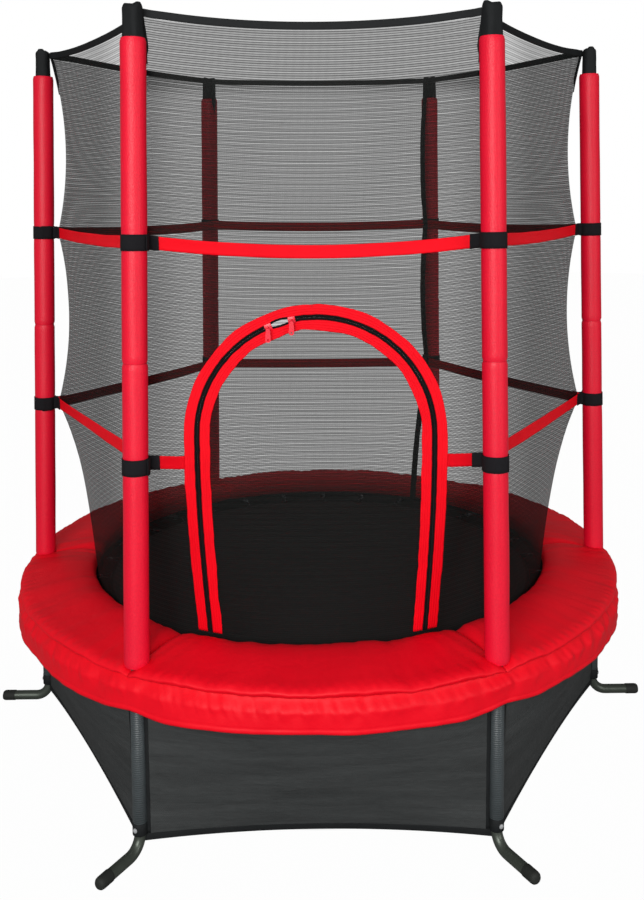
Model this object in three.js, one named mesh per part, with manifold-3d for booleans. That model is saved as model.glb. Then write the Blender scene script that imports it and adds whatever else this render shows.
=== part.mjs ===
// A small garden trampoline for one child, with a safety net inside six padded poles.
// Six curved tubes plug into each other to make a round ring on six bent legs. Springs
// hold a round jump mat in the ring, a sewn pad covers them, and a net with an arched
// zip door hangs from the pole tops. Lengths are in millimetres, +Z is up, the origin is
// on the floor under the middle of the mat, and the door faces -Y.
import * as THREE from 'three';
import { mergeVertices } from 'three/addons/utils/BufferGeometryUtils.js';
import Module from 'manifold-3d';

// ---------------------------------------------------------------- driving dimensions

// The steel frame
const SIDES = 6;                      // poles, legs and ring sections
const RING_RADIUS = 675;              // centreline of the ring
const RING_HEIGHT = 335;              // centreline above the floor
const RING_TUBE = 25;                 // outside diameter
const RING_WALL = 1.5;
const RING_STEPS = 5;                 // straight pieces in the model of one section
const SOCKET_OUTER = 31;              // upright socket welded to each section
const SOCKET_BORE = 23;
const SOCKET_BELOW = 37;              // reach under the ring's centreline
const SOCKET_ABOVE = 37;
const SLEEVE_OUTER = 29;              // sleeve that takes the next section's end
const SLEEVE_BORE = 25.6;
const SLEEVE_LENGTH = 42;
const END_GAP = 1;                    // between tube ends that meet in a socket or sleeve
const POST_TUBE = 22;                 // poles and legs, outside diameter
const POST_WALL = 1.5;
const POLE_TOP = 1575;
const POLE_LEAN = Math.atan(0.0212);  // towards the middle
const LEAN_ABOVE = 4;                 // where the lean starts, over the socket
const FOOT_BEND = 32;                 // centreline radius of the bend above the foot
const BEND_STEPS = 3;
const FOOT_REACH = 115;               // tip of the foot cap, past the ring's centreline
const CAP_DIAMETER = 26;
const CAP_LENGTH = 31;
const CAP_DEPTH = 24;
const CAP_BORE = 22.7;
const CAP_NOSE = 0.78;                // end face, as a share of the rim
const CAP_ROUND = 2;                  // length of the rounded edge

// Foam sleeves on the poles
const FOAM_DIAMETER = 47;
const FOAM_BORE = 23.6;
const FOAM_RISE = 47;                 // lower end above the ring's centreline
const FOAM_SEAM = 938;
const FOAM_TOP = 1530;
const FOAM_GAP = 0.4;

// Jump mat, its edge band, rings and springs
const MAT_RADIUS = 500;
const MAT_THICKNESS = 3;
const MAT_RISE = 2;                   // underside above the ring's centreline
const BAND_INNER = 478;
const BAND_OUTER = 507;
const BAND_THICKNESS = 2.4;
const EYE_WIDTH = 32;                 // triangular ring sewn in the band
const EYE_OPENING = 20;               // width of its hole
const EYE_BASE = 503;
const EYE_TIP = 530;
const WIRE = 3;
const SPRINGS_PER_SECTION = 5;
const COIL_DIAMETER = 16;
const COIL_START = 558;
const COIL_SHORT = 35;                // end of the coil, inside the ring's centreline
const HOOK_SHORT = 4;                 // end of the hook, inside the ring's centreline
const HOOK_DROP = 4;
const HOOK_HOLE = 4;

// Sewn pad over the springs, and its hanging edge
const PAD_INNER = 540;
const PAD_OVERHANG = 19;              // past the ring's centreline
const PAD_INNER_RISE = 52;            // above the ring's centreline
const PAD_OUTER_RISE = 34;
const PAD_CROWN = 5;
const PAD_SEAM_DIP = 6;
const PAD_HOLE = 35;
const DROP_FALL = 39;                 // below the ring's centreline
const DROP_REACH = 32;                // past the ring's centreline
const DROP_WAVE = 5;
const DROP_THICKNESS = 3;

// Safety net, its ties, straps and top hem
const NET_THICKNESS = 1.6;
const NET_EDGE = 0.998;               // share of a panel's width, so that panels stay apart
const NET_RISE = 17;                  // lower edge above the ring's centreline
const NET_BOTTOM_RADIUS = 530;
const LOWER_TIE = 747;
const UPPER_TIE = 1160;
const TIE_HEIGHT = 30;
const TIE_THICKNESS = 2;
const TIE_LINK = 4;
const TIE_LINK_WIDTH = 14;
const STRAP_WIDTH = 25;
const STRAP_THICKNESS = 1.5;
const STRAP_EASE = 1.1;               // between the strap and the net, away from the ties
const CLOTH_GAP = 0.35;               // between layers that are sewn together
const HEM_TOP = 1587;
const HEM_WIDTH = 15;
const HEM_THICKNESS = 3.7;
const HEM_OVERLAP = 1;                // hem sewn into the pockets
const POCKET_WIDTH = 38;
const POCKET_DEPTH = 30;
const POCKET_BOTTOM = 1531;
const POCKET_TOP = 1590;
const POCKET_BORE = 25;
const POCKET_BORE_TOP = 1578;
const POCKET_CORNER = 6;
const POCKET_ROUND = 5;
const POCKET_CLOSED = 0.8;            // its top, as a share of its width

// Arched zip door in the front panel
const DOOR_PLANE = 546;               // distance of the door's upper part from the middle
const DOOR_FLAT_TOP = 1050;           // the panel is flat up to this level
const DOOR_RISE = 57;                 // lower edge above the ring's centreline
const ARCH_RADIUS = 223.5;            // zip centreline
const ARCH_CENTRE = 794.5;            // height of the arch's centre
const DOOR_FOOT = 210.5;              // half width of the zip at the bottom
const COIL_INNER_EDGE = 1.2;          // zip coil, from the zip centreline
const COIL_OUTER_EDGE = 4.6;
const ZIP_THICKNESS = 2;
const TAPE_INNER_EDGE = 5;
const TAPE_OUTER_EDGE = 25;
const TAPE_THICKNESS = 1.6;
const TAPE_LIFT = 1.3;                // tape and coil in front of the net's face
const NET_CUT = 7;                    // net's cut edge from the zip centreline
const FLAP_GAP = 0.5;                 // under the flap's lower edge
const LEFT_SLIDER = -23;              // degrees from the top of the arch
const RIGHT_SLIDER = -11.3;
const SLIDER_LENGTH = 14;
const SLIDER_WIDTH = 13;
const SLIDER_PLATE = 2;
const SLIDER_GAP = 0.45;
const SLIDER_CORNER = 2;              // cut off the front plate's corners
const SLIDER_NECK = 8;                // length of the wall between the two plates
const NECK_WALL = 1;
const BACK_PLATE = 1.2;
const PULL_LENGTH = 28;
const PULL_WIDTH = 10;
const PULL_THICKNESS = 2;
const PULL_EYE_WIDTH = 3;
const PULL_EYE_WALL = 0.8;
const PULL_EYE_CLEAR = 2.1;           // from the bridge's axis to the eye's inside
const BRIDGE_BAR = 1.6;
const BRIDGE_REACH = 4.2;             // bridge's axis in front of the plate

// Skirt round the legs
const SKIRT_BOTTOM = 27;
const SKIRT_ARCH = 20;                // rise of its lower edge between two legs
const SKIRT_THICKNESS = 1.6;
const SKIRT_HEM = 18;
const SKIRT_FOLD = 1.6;               // extra thickness of the hem, on the outside
const SKIRT_SLEEVE = 28;
const SKIRT_BORE = 24.6;
const SKIRT_CLEAR = 1.8;              // round the sockets
const CUFF_REACH = 1;                 // sleeve's lower end, under the start of the leg's bend
const SKIRT_STEPS = 4;                // straight pieces in the model of one side

// Facets of round pieces, and how far a cutting tool runs past what it cuts
const TUBE_SIDES = 8;
const ROUND_SIDES = 10;
const COIL_SIDES = 5;
const MAT_SIDES = 30;
const THROUGH = 5;
const STEP = (2 * Math.PI) / SIDES;
const HALF = STEP / 2;
const capAxis = (CAP_DIAMETER / 2) * Math.cos(Math.PI / TUBE_SIDES);

// ---------------------------------------------------------------- solids

const wasm = await Module();
wasm.setup();

const vec = (x, y, z) => new THREE.Vector3(x, y, z);
const mix = THREE.MathUtils.lerp;
const rad = THREE.MathUtils.degToRad;

// Point at a distance and an azimuth from the middle.
function polar(radius, angle, z) {
  return vec(radius * Math.cos(angle), radius * Math.sin(angle), z);
}

// Volume inside a closed mesh, negative when its faces point inwards.
function signedVolume(positions, index) {
  const corner = k => vec(...positions.slice(3 * index[k], 3 * index[k] + 3));
  let volume = 0;
  for (let k = 0; k < index.length; k += 3) {
    volume += corner(k).dot(corner(k + 1).cross(corner(k + 2))) / 6;
  }
  return volume;
}

// Skins a row of loops that have the same number of points. The row is closed on itself
// or gets ends, zipped from side to side, and bores is a second row inside it for a tube.
// A loop round a thin sheet runs over its front and, from point number back, over its
// back, where the squares are split the same way as in front, so the sheet stays even.
function loft(loops, { bores = null, closed = false, back = Infinity } = {}) {
  const count = loops[0].length;
  const rows = loops.length;
  const positions = [];
  const index = [];
  const add = row => row.flat().forEach(p => positions.push(p.x, p.y, p.z));
  const face = (a, b, c, flip) => index.push(...(flip ? [a, c, b] : [a, b, c]));
  const skin = (start, flip) => {
    for (let i = 0; i < (closed ? rows : rows - 1); i++) {
      for (let j = 0; j < count; j++) {
        const next = (j + 1) % count;
        const here = start + i * count;
        const there = start + ((i + 1) % rows) * count;
        if (j < back) {
          face(here + j, here + next, there + next, flip);
          face(here + j, there + next, there + j, flip);
        } else {
          face(here + j, here + next, there + j, flip);
          face(here + next, there + next, there + j, flip);
        }
      }
    }
  };
  add(loops);
  skin(0, false);
  const inner = rows * count;
  if (bores) {
    add(bores);
    skin(inner, true);
  }
  if (!closed) {
    for (const [row, flip] of [[0, true], [(rows - 1) * count, false]]) {
      for (let j = 0; bores && j < count; j++) {
        const next = (j + 1) % count;
        face(row + j, row + next, inner + row + next, flip);
        face(row + j, inner + row + next, inner + row + j, flip);
      }
      for (let j = 0, k = count - 1; !bores && k - j > 1; j++, k--) {
        face(row + j, row + j + 1, row + k, flip);
        if (k - j > 2) {
          face(row + j + 1, row + k - 1, row + k, flip);
        }
      }
    }
  }
  if (signedVolume(positions, index) < 0) {
    index.reverse();
  }
  const geometry = new THREE.BufferGeometry();
  geometry.setAttribute('position', new THREE.Float32BufferAttribute(positions, 3));
  geometry.setIndex(index);
  return geometry;
}

// Closed sheet between two grids of points with the same rows and columns.
function sheet(front, back) {
  const loops = front.map((row, i) => [...row, ...[...back[i]].reverse()]);
  return loft(loops, { back: front[0].length });
}

// Loop of points round a station that has a centre and two axes across the path.
function circle(station, radius, sides = TUBE_SIDES) {
  return Array.from({ length: sides }, (_, k) => {
    const angle = (2 * Math.PI * (k + 0.5)) / sides;
    return station.centre.clone()
      .addScaledVector(station.across, radius * Math.cos(angle))
      .addScaledVector(station.up, radius * Math.sin(angle));
  });
}

function rod(stations, radius, sides = TUBE_SIDES) {
  return loft(stations.map(station => circle(station, radius, sides)));
}

function pipe(stations, outer, inner) {
  const bores = stations.map(station => circle(station, inner));
  return loft(stations.map(station => circle(station, outer)), { bores });
}

// Round solid on the Z axis from a closed or axis-to-axis outline of [radius, z]. One of
// its flats faces +X, as in the loops above, so that pieces of one count fit together.
function turned(outline, sides = ROUND_SIDES) {
  const points = outline.map(([r, z]) => new THREE.Vector2(r, z));
  return new THREE.LatheGeometry(points, sides)
    .rotateX(Math.PI / 2)
    .rotateZ(Math.PI / sides - Math.PI / 2);
}

function cylinder(radius, bottom, top, sides = ROUND_SIDES) {
  return turned([[0, bottom], [radius, bottom], [radius, top], [0, top]], sides);
}

function hollowCylinder(inner, outer, bottom, top, sides = ROUND_SIDES) {
  return turned([[inner, bottom], [outer, bottom], [outer, top], [inner, top], [inner, bottom]], sides);
}

function box(sizeX, sizeY, sizeZ, x = 0, y = 0, z = 0) {
  return new THREE.BoxGeometry(sizeX, sizeY, sizeZ).translate(x, y, z);
}

// Extrudes an outline of [x, z] points along Y, from one depth to another.
function plate(outline, fromY, toY) {
  const shape = new THREE.Shape(outline.map(([x, z]) => new THREE.Vector2(x, z)));
  const depth = Math.abs(toY - fromY);
  return new THREE.ExtrudeGeometry(shape, { depth, bevelEnabled: false, curveSegments: 6 })
    .rotateX(Math.PI / 2).translate(0, Math.max(fromY, toY), 0);
}

function toSolid(geometry) {
  const bare = geometry.clone();
  bare.deleteAttribute('normal');
  bare.deleteAttribute('uv');
  const merged = mergeVertices(bare, 1e-3);
  const vertices = merged.attributes.position.array;
  const triangles = Uint32Array.from(merged.index.array);
  if (signedVolume([...vertices], triangles) < 0) {
    triangles.reverse();
  }
  return new wasm.Manifold(new wasm.Mesh({
    numProp: 3,
    vertProperties: vertices,
    triVerts: triangles,
  }));
}

// Vertices that a cut left almost on top of each other are merged, and the triangles that
// collapse with them are dropped.
function toGeometry(solid) {
  const mesh = solid.getMesh();
  const geometry = new THREE.BufferGeometry();
  geometry.setAttribute('position', new THREE.BufferAttribute(mesh.vertProperties, 3));
  geometry.setIndex([...mesh.triVerts]);
  const merged = mergeVertices(geometry, 0.004);
  const index = [];
  for (let k = 0; k < merged.index.count; k += 3) {
    const [a, b, c] = merged.index.array.slice(k, k + 3);
    if (a !== b && b !== c && c !== a) {
      index.push(a, b, c);
    }
  }
  merged.setIndex(index);
  return merged;
}

function join(geometries) {
  return geometries.map(toSolid).reduce((sum, next) => sum.add(next));
}

// ---------------------------------------------------------------- finishes

const FINISHES = {
  steel: { color: 0x8b9390, roughness: 0.35, metalness: 0.8 },
  zinc: { color: 0xb9bcc0, roughness: 0.3, metalness: 1 },
  foam: { color: 0xe8203c, roughness: 0.7, metalness: 0 },
  vinyl: { color: 0xdc0a22, roughness: 0.45, metalness: 0 },
  webbing: { color: 0xf50018, roughness: 0.8, metalness: 0 },
  zip: { color: 0x161618, roughness: 0.6, metalness: 0 },
  slider: { color: 0xe02038, roughness: 0.35, metalness: 0.3 },
  mat: { color: 0x202022, roughness: 0.8, metalness: 0 },
  net: { color: 0x2a2a2c, roughness: 0.9, metalness: 0 },
  binding: { color: 0x19191b, roughness: 0.8, metalness: 0 },
  skirt: { color: 0x2d2f30, roughness: 0.8, metalness: 0 },
  rubber: { color: 0x151515, roughness: 0.9, metalness: 0 },
};

const trampoline = new THREE.Group();

function place(parent, name, geometry, finish) {
  const mesh = new THREE.Mesh(geometry, new THREE.MeshStandardMaterial(FINISHES[finish]));
  mesh.name = name;
  parent.add(mesh);
  return mesh;
}

// Six groups, one at each pole, turned round the middle.
const corners = Array.from({ length: SIDES }, (_, k) => {
  const corner = new THREE.Group();
  corner.rotation.z = k * STEP;
  trampoline.add(corner);
  return corner;
});

// ---------------------------------------------------------------- ring, legs and poles

const springAngles = Array.from(
  { length: SPRINGS_PER_SECTION }, (_, k) => ((k + 0.5) * STEP) / SPRINGS_PER_SECTION);

const onRing = angle => ({
  centre: polar(RING_RADIUS, angle, RING_HEIGHT),
  across: polar(1, angle, 0),
  up: vec(0, 0, 1),
});

// One ring section: an upright socket at its start, a sleeve behind the socket for the
// end of the section before it, and a hollow tube punched for the spring hooks.
function ringSection() {
  const socketReach = (SOCKET_OUTER / 2 + END_GAP) / RING_RADIUS;
  const sleeveReach = SLEEVE_LENGTH / RING_RADIUS;
  const tubeEnd = STEP - socketReach;
  const tubeAngles = Array.from({ length: RING_STEPS }, (_, k) => (k * STEP) / RING_STEPS);
  tubeAngles.push(STEP - sleeveReach, tubeEnd);
  const behind = [-sleeveReach, -socketReach, 0].map(onRing);
  const tube = tubeAngles.map(onRing);
  let solid = join([rod(tube, RING_TUBE / 2), rod(behind, SLEEVE_OUTER / 2)]);
  const beyond = onRing(tubeEnd + THROUGH / RING_RADIUS);
  const mouth = onRing(-sleeveReach - THROUGH / RING_RADIUS);
  const bore = rod([...tube, beyond], RING_TUBE / 2 - RING_WALL);
  solid = solid.subtract(toSolid(bore));
  solid = solid.subtract(toSolid(rod([mouth, ...behind], SLEEVE_BORE / 2)));
  const bottom = RING_HEIGHT - SOCKET_BELOW;
  const top = RING_HEIGHT + SOCKET_ABOVE;
  const upright = cylinder(SOCKET_OUTER / 2, bottom, top, TUBE_SIDES);
  solid = solid.add(toSolid(upright.translate(RING_RADIUS, 0, 0)));
  const post = cylinder(SOCKET_BORE / 2, bottom - THROUGH, top + THROUGH, TUBE_SIDES);
  solid = solid.subtract(toSolid(post.translate(RING_RADIUS, 0, 0)));
  for (const angle of springAngles) {
    const innerWall = RING_RADIUS - RING_TUBE / 2;
    const punch = box(2 * THROUGH, HOOK_HOLE, HOOK_HOLE, innerWall, 0, RING_HEIGHT);
    solid = solid.subtract(toSolid(punch.rotateZ(angle)));
  }
  return toGeometry(solid);
}

// Leg: up into the socket, down to the bend, and out along the floor.
const footStart = RING_RADIUS + FOOT_BEND;
const footEnd = RING_RADIUS + FOOT_REACH;
const footStop = footEnd - CAP_LENGTH + CAP_DEPTH - END_GAP;
function legTube() {
  const stations = [];
  const station = (x, z, tilt) => stations.push({
    centre: vec(x, 0, z),
    across: vec(Math.cos(tilt), 0, Math.sin(tilt)),
    up: vec(0, 1, 0),
  });
  station(RING_RADIUS, RING_HEIGHT - END_GAP, 0);
  for (let k = 0; k <= BEND_STEPS; k++) {
    const tilt = (k / BEND_STEPS) * (Math.PI / 2);
    const x = footStart - FOOT_BEND * Math.cos(tilt);
    station(x, capAxis + FOOT_BEND * (1 - Math.sin(tilt)), tilt);
  }
  station(footStop, capAxis, Math.PI / 2);
  return pipe(stations, POST_TUBE / 2, POST_TUBE / 2 - POST_WALL);
}

// Rounded cap on the end of the foot, resting on a flat of its rim.
function footCap() {
  const rim = CAP_DIAMETER / 2;
  const bore = CAP_BORE / 2;
  const outline = [
    [0, CAP_DEPTH], [bore, CAP_DEPTH], [bore, 0], [rim, 0],
    [rim, CAP_DEPTH - CAP_ROUND], [CAP_NOSE * rim, CAP_LENGTH - CAP_ROUND], [0, CAP_LENGTH],
  ];
  return toGeometry(toSolid(turned(outline, TUBE_SIDES)))
    .rotateY(Math.PI / 2)
    .translate(footEnd - CAP_LENGTH, 0, capAxis);
}

// Pole: straight in the socket, then leaning in towards the middle.
const leanStart = RING_HEIGHT + SOCKET_ABOVE + LEAN_ABOVE;
const poleRadius = z => RING_RADIUS - Math.tan(POLE_LEAN) * Math.max(0, z - leanStart);
function poleTube() {
  const stations = [RING_HEIGHT, leanStart, POLE_TOP].map((z, k) => ({
    centre: vec(poleRadius(z), 0, z),
    across: vec(Math.cos(k && POLE_LEAN), 0, Math.sin(k && POLE_LEAN)),
    up: vec(0, 1, 0),
  }));
  return pipe(stations, POST_TUBE / 2, POST_TUBE / 2 - POST_WALL);
}

// Ring of material round the leaning pole between two heights.
function roundPole(inner, outer, bottom, top) {
  const slope = Math.cos(POLE_LEAN);
  return hollowCylinder(inner, outer, 0, (top - bottom) / slope)
    .rotateY(-POLE_LEAN)
    .translate(poleRadius(bottom), 0, bottom);
}

corners.forEach((corner, k) => {
  place(corner, `ring_section_${k + 1}`, ringSection(), 'steel');
  place(corner, `leg_${k + 1}`, legTube(), 'steel');
  place(corner, `foot_cap_${k + 1}`, footCap(), 'rubber');
  place(corner, `pole_${k + 1}`, poleTube(), 'steel');
  const seam = FOAM_SEAM + FOAM_GAP;
  const lower = roundPole(FOAM_BORE / 2, FOAM_DIAMETER / 2, RING_HEIGHT + FOAM_RISE, FOAM_SEAM);
  const upper = roundPole(FOAM_BORE / 2, FOAM_DIAMETER / 2, seam, FOAM_TOP);
  place(corner, `foam_lower_${k + 1}`, lower, 'foam');
  place(corner, `foam_upper_${k + 1}`, upper, 'foam');
});

// ---------------------------------------------------------------- mat and springs

const matBottom = RING_HEIGHT + MAT_RISE;
const matDisc = toSolid(cylinder(MAT_RADIUS, matBottom, matBottom + MAT_THICKNESS, MAT_SIDES));
place(trampoline, 'jump_mat', toGeometry(matDisc), 'mat');

// Triangular wire ring that sticks out of the band, lying flat under the mat's edge.
function bandEye(top) {
  const tip = EYE_TIP + WIRE;
  const outline = [[EYE_BASE, -EYE_WIDTH / 2], [tip, 0], [EYE_BASE, EYE_WIDTH / 2]];
  const opening = [
    [EYE_BASE + WIRE, EYE_OPENING / 2], [EYE_TIP - WIRE, 0], [EYE_BASE + WIRE, -EYE_OPENING / 2],
  ];
  const shape = new THREE.Shape(outline.map(([x, y]) => new THREE.Vector2(x, y)));
  shape.holes.push(new THREE.Path(opening.map(([x, y]) => new THREE.Vector2(x, y))));
  return new THREE.ExtrudeGeometry(shape, { depth: WIRE, bevelEnabled: false })
    .translate(0, 0, top - WIRE);
}

// The band sewn round the mat, with its triangular rings and the hooked springs.
function springSet() {
  const bandTop = matBottom - CLOTH_GAP;
  const bandBottom = bandTop - BAND_THICKNESS;
  const springs = SIDES * SPRINGS_PER_SECTION;
  const band = Array.from({ length: springs }, (_, k) => {
    const angle = (k * 2 * Math.PI) / springs;
    const corner = (r, z) => polar(r, angle, z);
    return [
      corner(BAND_INNER, bandBottom), corner(BAND_OUTER, bandBottom),
      corner(BAND_OUTER, bandTop), corner(BAND_INNER, bandTop),
    ];
  });
  const top = RING_HEIGHT + WIRE / 2;
  const low = RING_HEIGHT - WIRE / 2;
  const start = EYE_TIP - 2 * WIRE;
  const hookEnd = RING_RADIUS - HOOK_SHORT;
  const wire = plate([
    [start, top], [hookEnd, top], [hookEnd, low - HOOK_DROP],
    [hookEnd - WIRE, low - HOOK_DROP], [hookEnd - WIRE, low], [start, low],
  ], -WIRE / 2, WIRE / 2);
  const coil = rod([COIL_START, RING_RADIUS - COIL_SHORT].map(x => ({
    centre: vec(x, 0, RING_HEIGHT),
    across: vec(0, 1, 0),
    up: vec(0, 0, 1),
  })), COIL_DIAMETER / 2, COIL_SIDES);
  const spring = join([bandEye(bandTop), wire, coil]);
  let set = toSolid(loft(band, { closed: true }));
  for (let side = 0; side < SIDES; side++) {
    for (const angle of springAngles) {
      set = set.add(spring.rotate([0, 0, THREE.MathUtils.radToDeg(side * STEP + angle)]));
    }
  }
  return toGeometry(set);
}
place(trampoline, 'spring_set', springSet(), 'zinc');

// ---------------------------------------------------------------- spring pad

const padOuter = RING_RADIUS + PAD_OVERHANG;
const padInnerTop = RING_HEIGHT + PAD_INNER_RISE;
const padOuterTop = RING_HEIGHT + PAD_OUTER_RISE;
const dropBottom = RING_HEIGHT - DROP_FALL;
const padBottom = RING_HEIGHT + (SLEEVE_OUTER / 2) * Math.cos(Math.PI / TUBE_SIDES) + CLOTH_GAP;

// Cross-section of the pad at an azimuth: padded top, seam, and the edge hanging down. Its
// hanging edge turns back at one of the points.
const DROP_INSIDE = 9;
function padSection(angle) {
  const turn = ((angle % STEP) + STEP) % STEP;
  const fromSeam = Math.min(turn, STEP - turn);
  const seam = Math.max(0, 1 - fromSeam / rad(1));
  const swell = PAD_CROWN * Math.sin((Math.PI * turn) / STEP) - PAD_SEAM_DIP * seam;
  const wave = DROP_WAVE * Math.sin(5 * SIDES * angle / 6) * Math.cos(2 * angle + 0.7);
  const lip = padOuterTop;
  const edge = dropBottom + wave;
  const flare = RING_RADIUS + DROP_REACH + 0.4 * wave;
  const wall = DROP_THICKNESS;
  const profile = [
    [PAD_INNER + 4, padBottom + 6],
    [PAD_INNER - 3, padBottom + 18],
    [PAD_INNER + 3, padInnerTop - 3 + swell / 2],
    [PAD_INNER + 35, padInnerTop + 4 + swell],
    [PAD_INNER + 82, padInnerTop - 3 + swell],
    [padOuter - 45, lip + 6],
    [padOuter - 4, lip],
    [padOuter + 5, lip - 7],
    [flare, mix(lip, edge, 0.55)],
    [flare - 1, edge],
    [flare - 1 - wall, edge],
    [flare - wall, mix(lip, edge, 0.55)],
    [padOuter + 5 - wall, lip - 13],
    [padOuter - 4, padBottom],
  ];
  return profile.map(([r, z]) => polar(r, angle, z));
}

function springPad() {
  const stops = [0, 1, 5, 14, 25, 35, 46, 55, 59].map(rad);
  const loops = [];
  for (let side = 0; side < SIDES; side++) {
    stops.forEach(stop => loops.push(padSection(side * STEP + stop)));
  }
  let solid = toSolid(loft(loops, { closed: true, back: DROP_INSIDE }));
  for (let side = 0; side < SIDES; side++) {
    const hole = cylinder(PAD_HOLE / 2, padBottom - THROUGH, padInnerTop + THROUGH, TUBE_SIDES)
      .translate(RING_RADIUS, 0, 0).rotateZ(side * STEP);
    solid = solid.subtract(toSolid(hole));
  }
  return toGeometry(solid);
}
place(trampoline, 'spring_pad', springPad(), 'vinyl');

// ---------------------------------------------------------------- safety net

// The net leaves the mat's edge on a circle, is pulled out to the poles at two levels of
// ties and at the top, and curves in between them. In each list a knot is [height, value].
const netBottom = RING_HEIGHT + NET_RISE;
const doorBottom = RING_HEIGHT + DOOR_RISE;
const faceOffset = NET_THICKNESS / 2 + CLOTH_GAP;
const strapReach = faceOffset + STRAP_EASE + STRAP_THICKNESS;
const tieReach = FOAM_DIAMETER / 2 + CLOTH_GAP + TIE_THICKNESS + TIE_LINK + strapReach;
const hemRadius = poleRadius(POCKET_BOTTOM) - POCKET_DEPTH / 2 - HEM_THICKNESS / 2 + HEM_OVERLAP;
const CORNER_KNOTS = [
  [netBottom, NET_BOTTOM_RADIUS], [doorBottom, NET_BOTTOM_RADIUS + 5],
  [LOWER_TIE, poleRadius(LOWER_TIE) - tieReach], [UPPER_TIE, poleRadius(UPPER_TIE) - tieReach],
  [HEM_TOP, hemRadius],
];
const CORNER_CURVE = [0, 12, 26, 28];
const MIDDLE_KNOTS = [
  [netBottom, NET_BOTTOM_RADIUS], [doorBottom, NET_BOTTOM_RADIUS + 5],
  [LOWER_TIE, DOOR_PLANE], [DOOR_FLAT_TOP, DOOR_PLANE], [UPPER_TIE, 538], [HEM_TOP, 528],
];
const SAG_KNOTS = [[doorBottom, 0], [LOWER_TIE, 7], [UPPER_TIE, 20], [HEM_TOP, 23]];
const SIDE_SAG = 0.35;                // a panel with no door sags less, by this share
const DOOR_FULLNESS = [[LOWER_TIE, 12], [DOOR_FLAT_TOP, 12], [UPPER_TIE, 4]];
const PANEL_FULLNESS = 4;

// Value at a height on straight lines between the knots, less a curve inside each span.
function along(knots, z, curves = []) {
  const last = knots.length - 2;
  const span = Math.max(0, Math.min(last, knots.findIndex(([height]) => height > z) - 1));
  const at = z >= knots[last + 1][0] ? last : span;
  const [z0, value0] = knots[at];
  const [z1, value1] = knots[at + 1];
  const t = THREE.MathUtils.clamp((z - z0) / (z1 - z0), 0, 1);
  return mix(value0, value1, t) - 4 * t * (1 - t) * (curves[at] ?? 0);
}

function halfWidth(level) {
  return along(CORNER_KNOTS, level, CORNER_CURVE) * Math.sin(HALF);
}

// Sideways place on a panel, its distance from the middle and its height, from side, -1 to
// 1 from pole to pole, and level, the height where that thread meets a pole.
function netPlace(side, level, door) {
  const corner = along(CORNER_KNOTS, level, CORNER_CURVE);
  const fullness = door ? along(DOOR_FULLNESS, level) : PANEL_FULLNESS;
  const rise = THREE.MathUtils.clamp((level - doorBottom) / (LOWER_TIE - doorBottom), 0, 1);
  const weight = mix(side ** 2, Math.abs(side) ** fullness, rise);
  const middle = along(MIDDLE_KNOTS, level);
  const sag = along(SAG_KNOTS, level) * (door ? 1 : SIDE_SAG);
  return {
    x: side * corner * Math.sin(HALF),
    out: mix(middle, corner * Math.cos(HALF), weight),
    z: level - sag * (1 - side * side),
  };
}

// A panel is built facing -Y and then turned to its place between two poles. Layers on it
// are offset outwards, with their ends mitred at the poles.
function netPoint(side, level, offset, door) {
  const at = netPlace(side, level, door);
  return vec(at.x + side * offset * Math.tan(HALF), -(at.out + offset), at.z);
}

// Distance of the front panel from the middle at a place given by x and z.
function frontDepth(x, z) {
  let level = z;
  for (let round = 0; round < 6; round++) {
    const side = THREE.MathUtils.clamp(x / halfWidth(level), -1, 1);
    level = z + along(SAG_KNOTS, level) * (1 - side * side);
  }
  return netPlace(x / halfWidth(level), level, true).out;
}

// Places across a panel and levels up it that the net, its hem and its straps share.
const PANEL_STOPS = [-1, -0.74, -0.28, 0.28, 0.74, 1];
const DOOR_STOPS = [-1, -0.93, -0.85, ...PANEL_STOPS.slice(1, -1), 0.85, 0.93, 1];
const MIDDLE_LEVELS = [880, DOOR_FLAT_TOP];
const HIGH_LEVELS = [1300, 1440];
const LEG_STEPS = 6;
const netTop = HEM_TOP - HEM_WIDTH;
const doorLevels = Array.from(
  { length: LEG_STEPS }, (_, k) => mix(doorBottom, LOWER_TIE, (k + 1) / LEG_STEPS));

function netPanel(door) {
  const stops = door ? DOOR_STOPS : PANEL_STOPS;
  const low = door ? doorLevels : [mix(doorBottom, LOWER_TIE, 0.5), LOWER_TIE];
  const levels = [netBottom, doorBottom, ...low, ...MIDDLE_LEVELS, UPPER_TIE, ...HIGH_LEVELS, netTop];
  const half = NET_THICKNESS / 2;
  const grid = offset => levels.map(z => stops.map(s => netPoint(s * NET_EDGE, z, offset, door)));
  return sheet(grid(half), grid(-half));
}

// Zip centreline, moved sideways by an offset: up one leg, over the arch, down the other.
function archLine(offset, legSteps, archSteps) {
  const points = [];
  const radius = ARCH_RADIUS + offset;
  const foot = DOOR_FOOT + offset;
  for (let k = 0; k < legSteps; k++) {
    const t = k / legSteps;
    points.push([-mix(foot, radius, Math.sin((t * Math.PI) / 2)), mix(doorBottom, ARCH_CENTRE, t)]);
  }
  for (let k = 0; k <= archSteps; k++) {
    const turn = Math.PI * (1 - k / archSteps);
    points.push([radius * Math.cos(turn), ARCH_CENTRE + radius * Math.sin(turn)]);
  }
  for (let k = legSteps - 1; k >= 0; k--) {
    points.push([-points[k][0], points[k][1]]);
  }
  return points;
}

const ARCH_STEPS = 24;

// Flat strip along the zip between two offsets, in front of the net.
function archStrip(from, to, thickness) {
  const near = archLine(from, LEG_STEPS, ARCH_STEPS);
  const far = archLine(to, LEG_STEPS, ARCH_STEPS);
  const back = NET_THICKNESS / 2 + TAPE_LIFT;
  const loops = near.map((point, k) => [
    [point, back], [far[k], back], [far[k], back + thickness], [point, back + thickness],
  ].map(([[x, z], lift]) => vec(x, -(frontDepth(x, z) + lift), z)));
  return loft(loops, { back: 2 });
}

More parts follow.
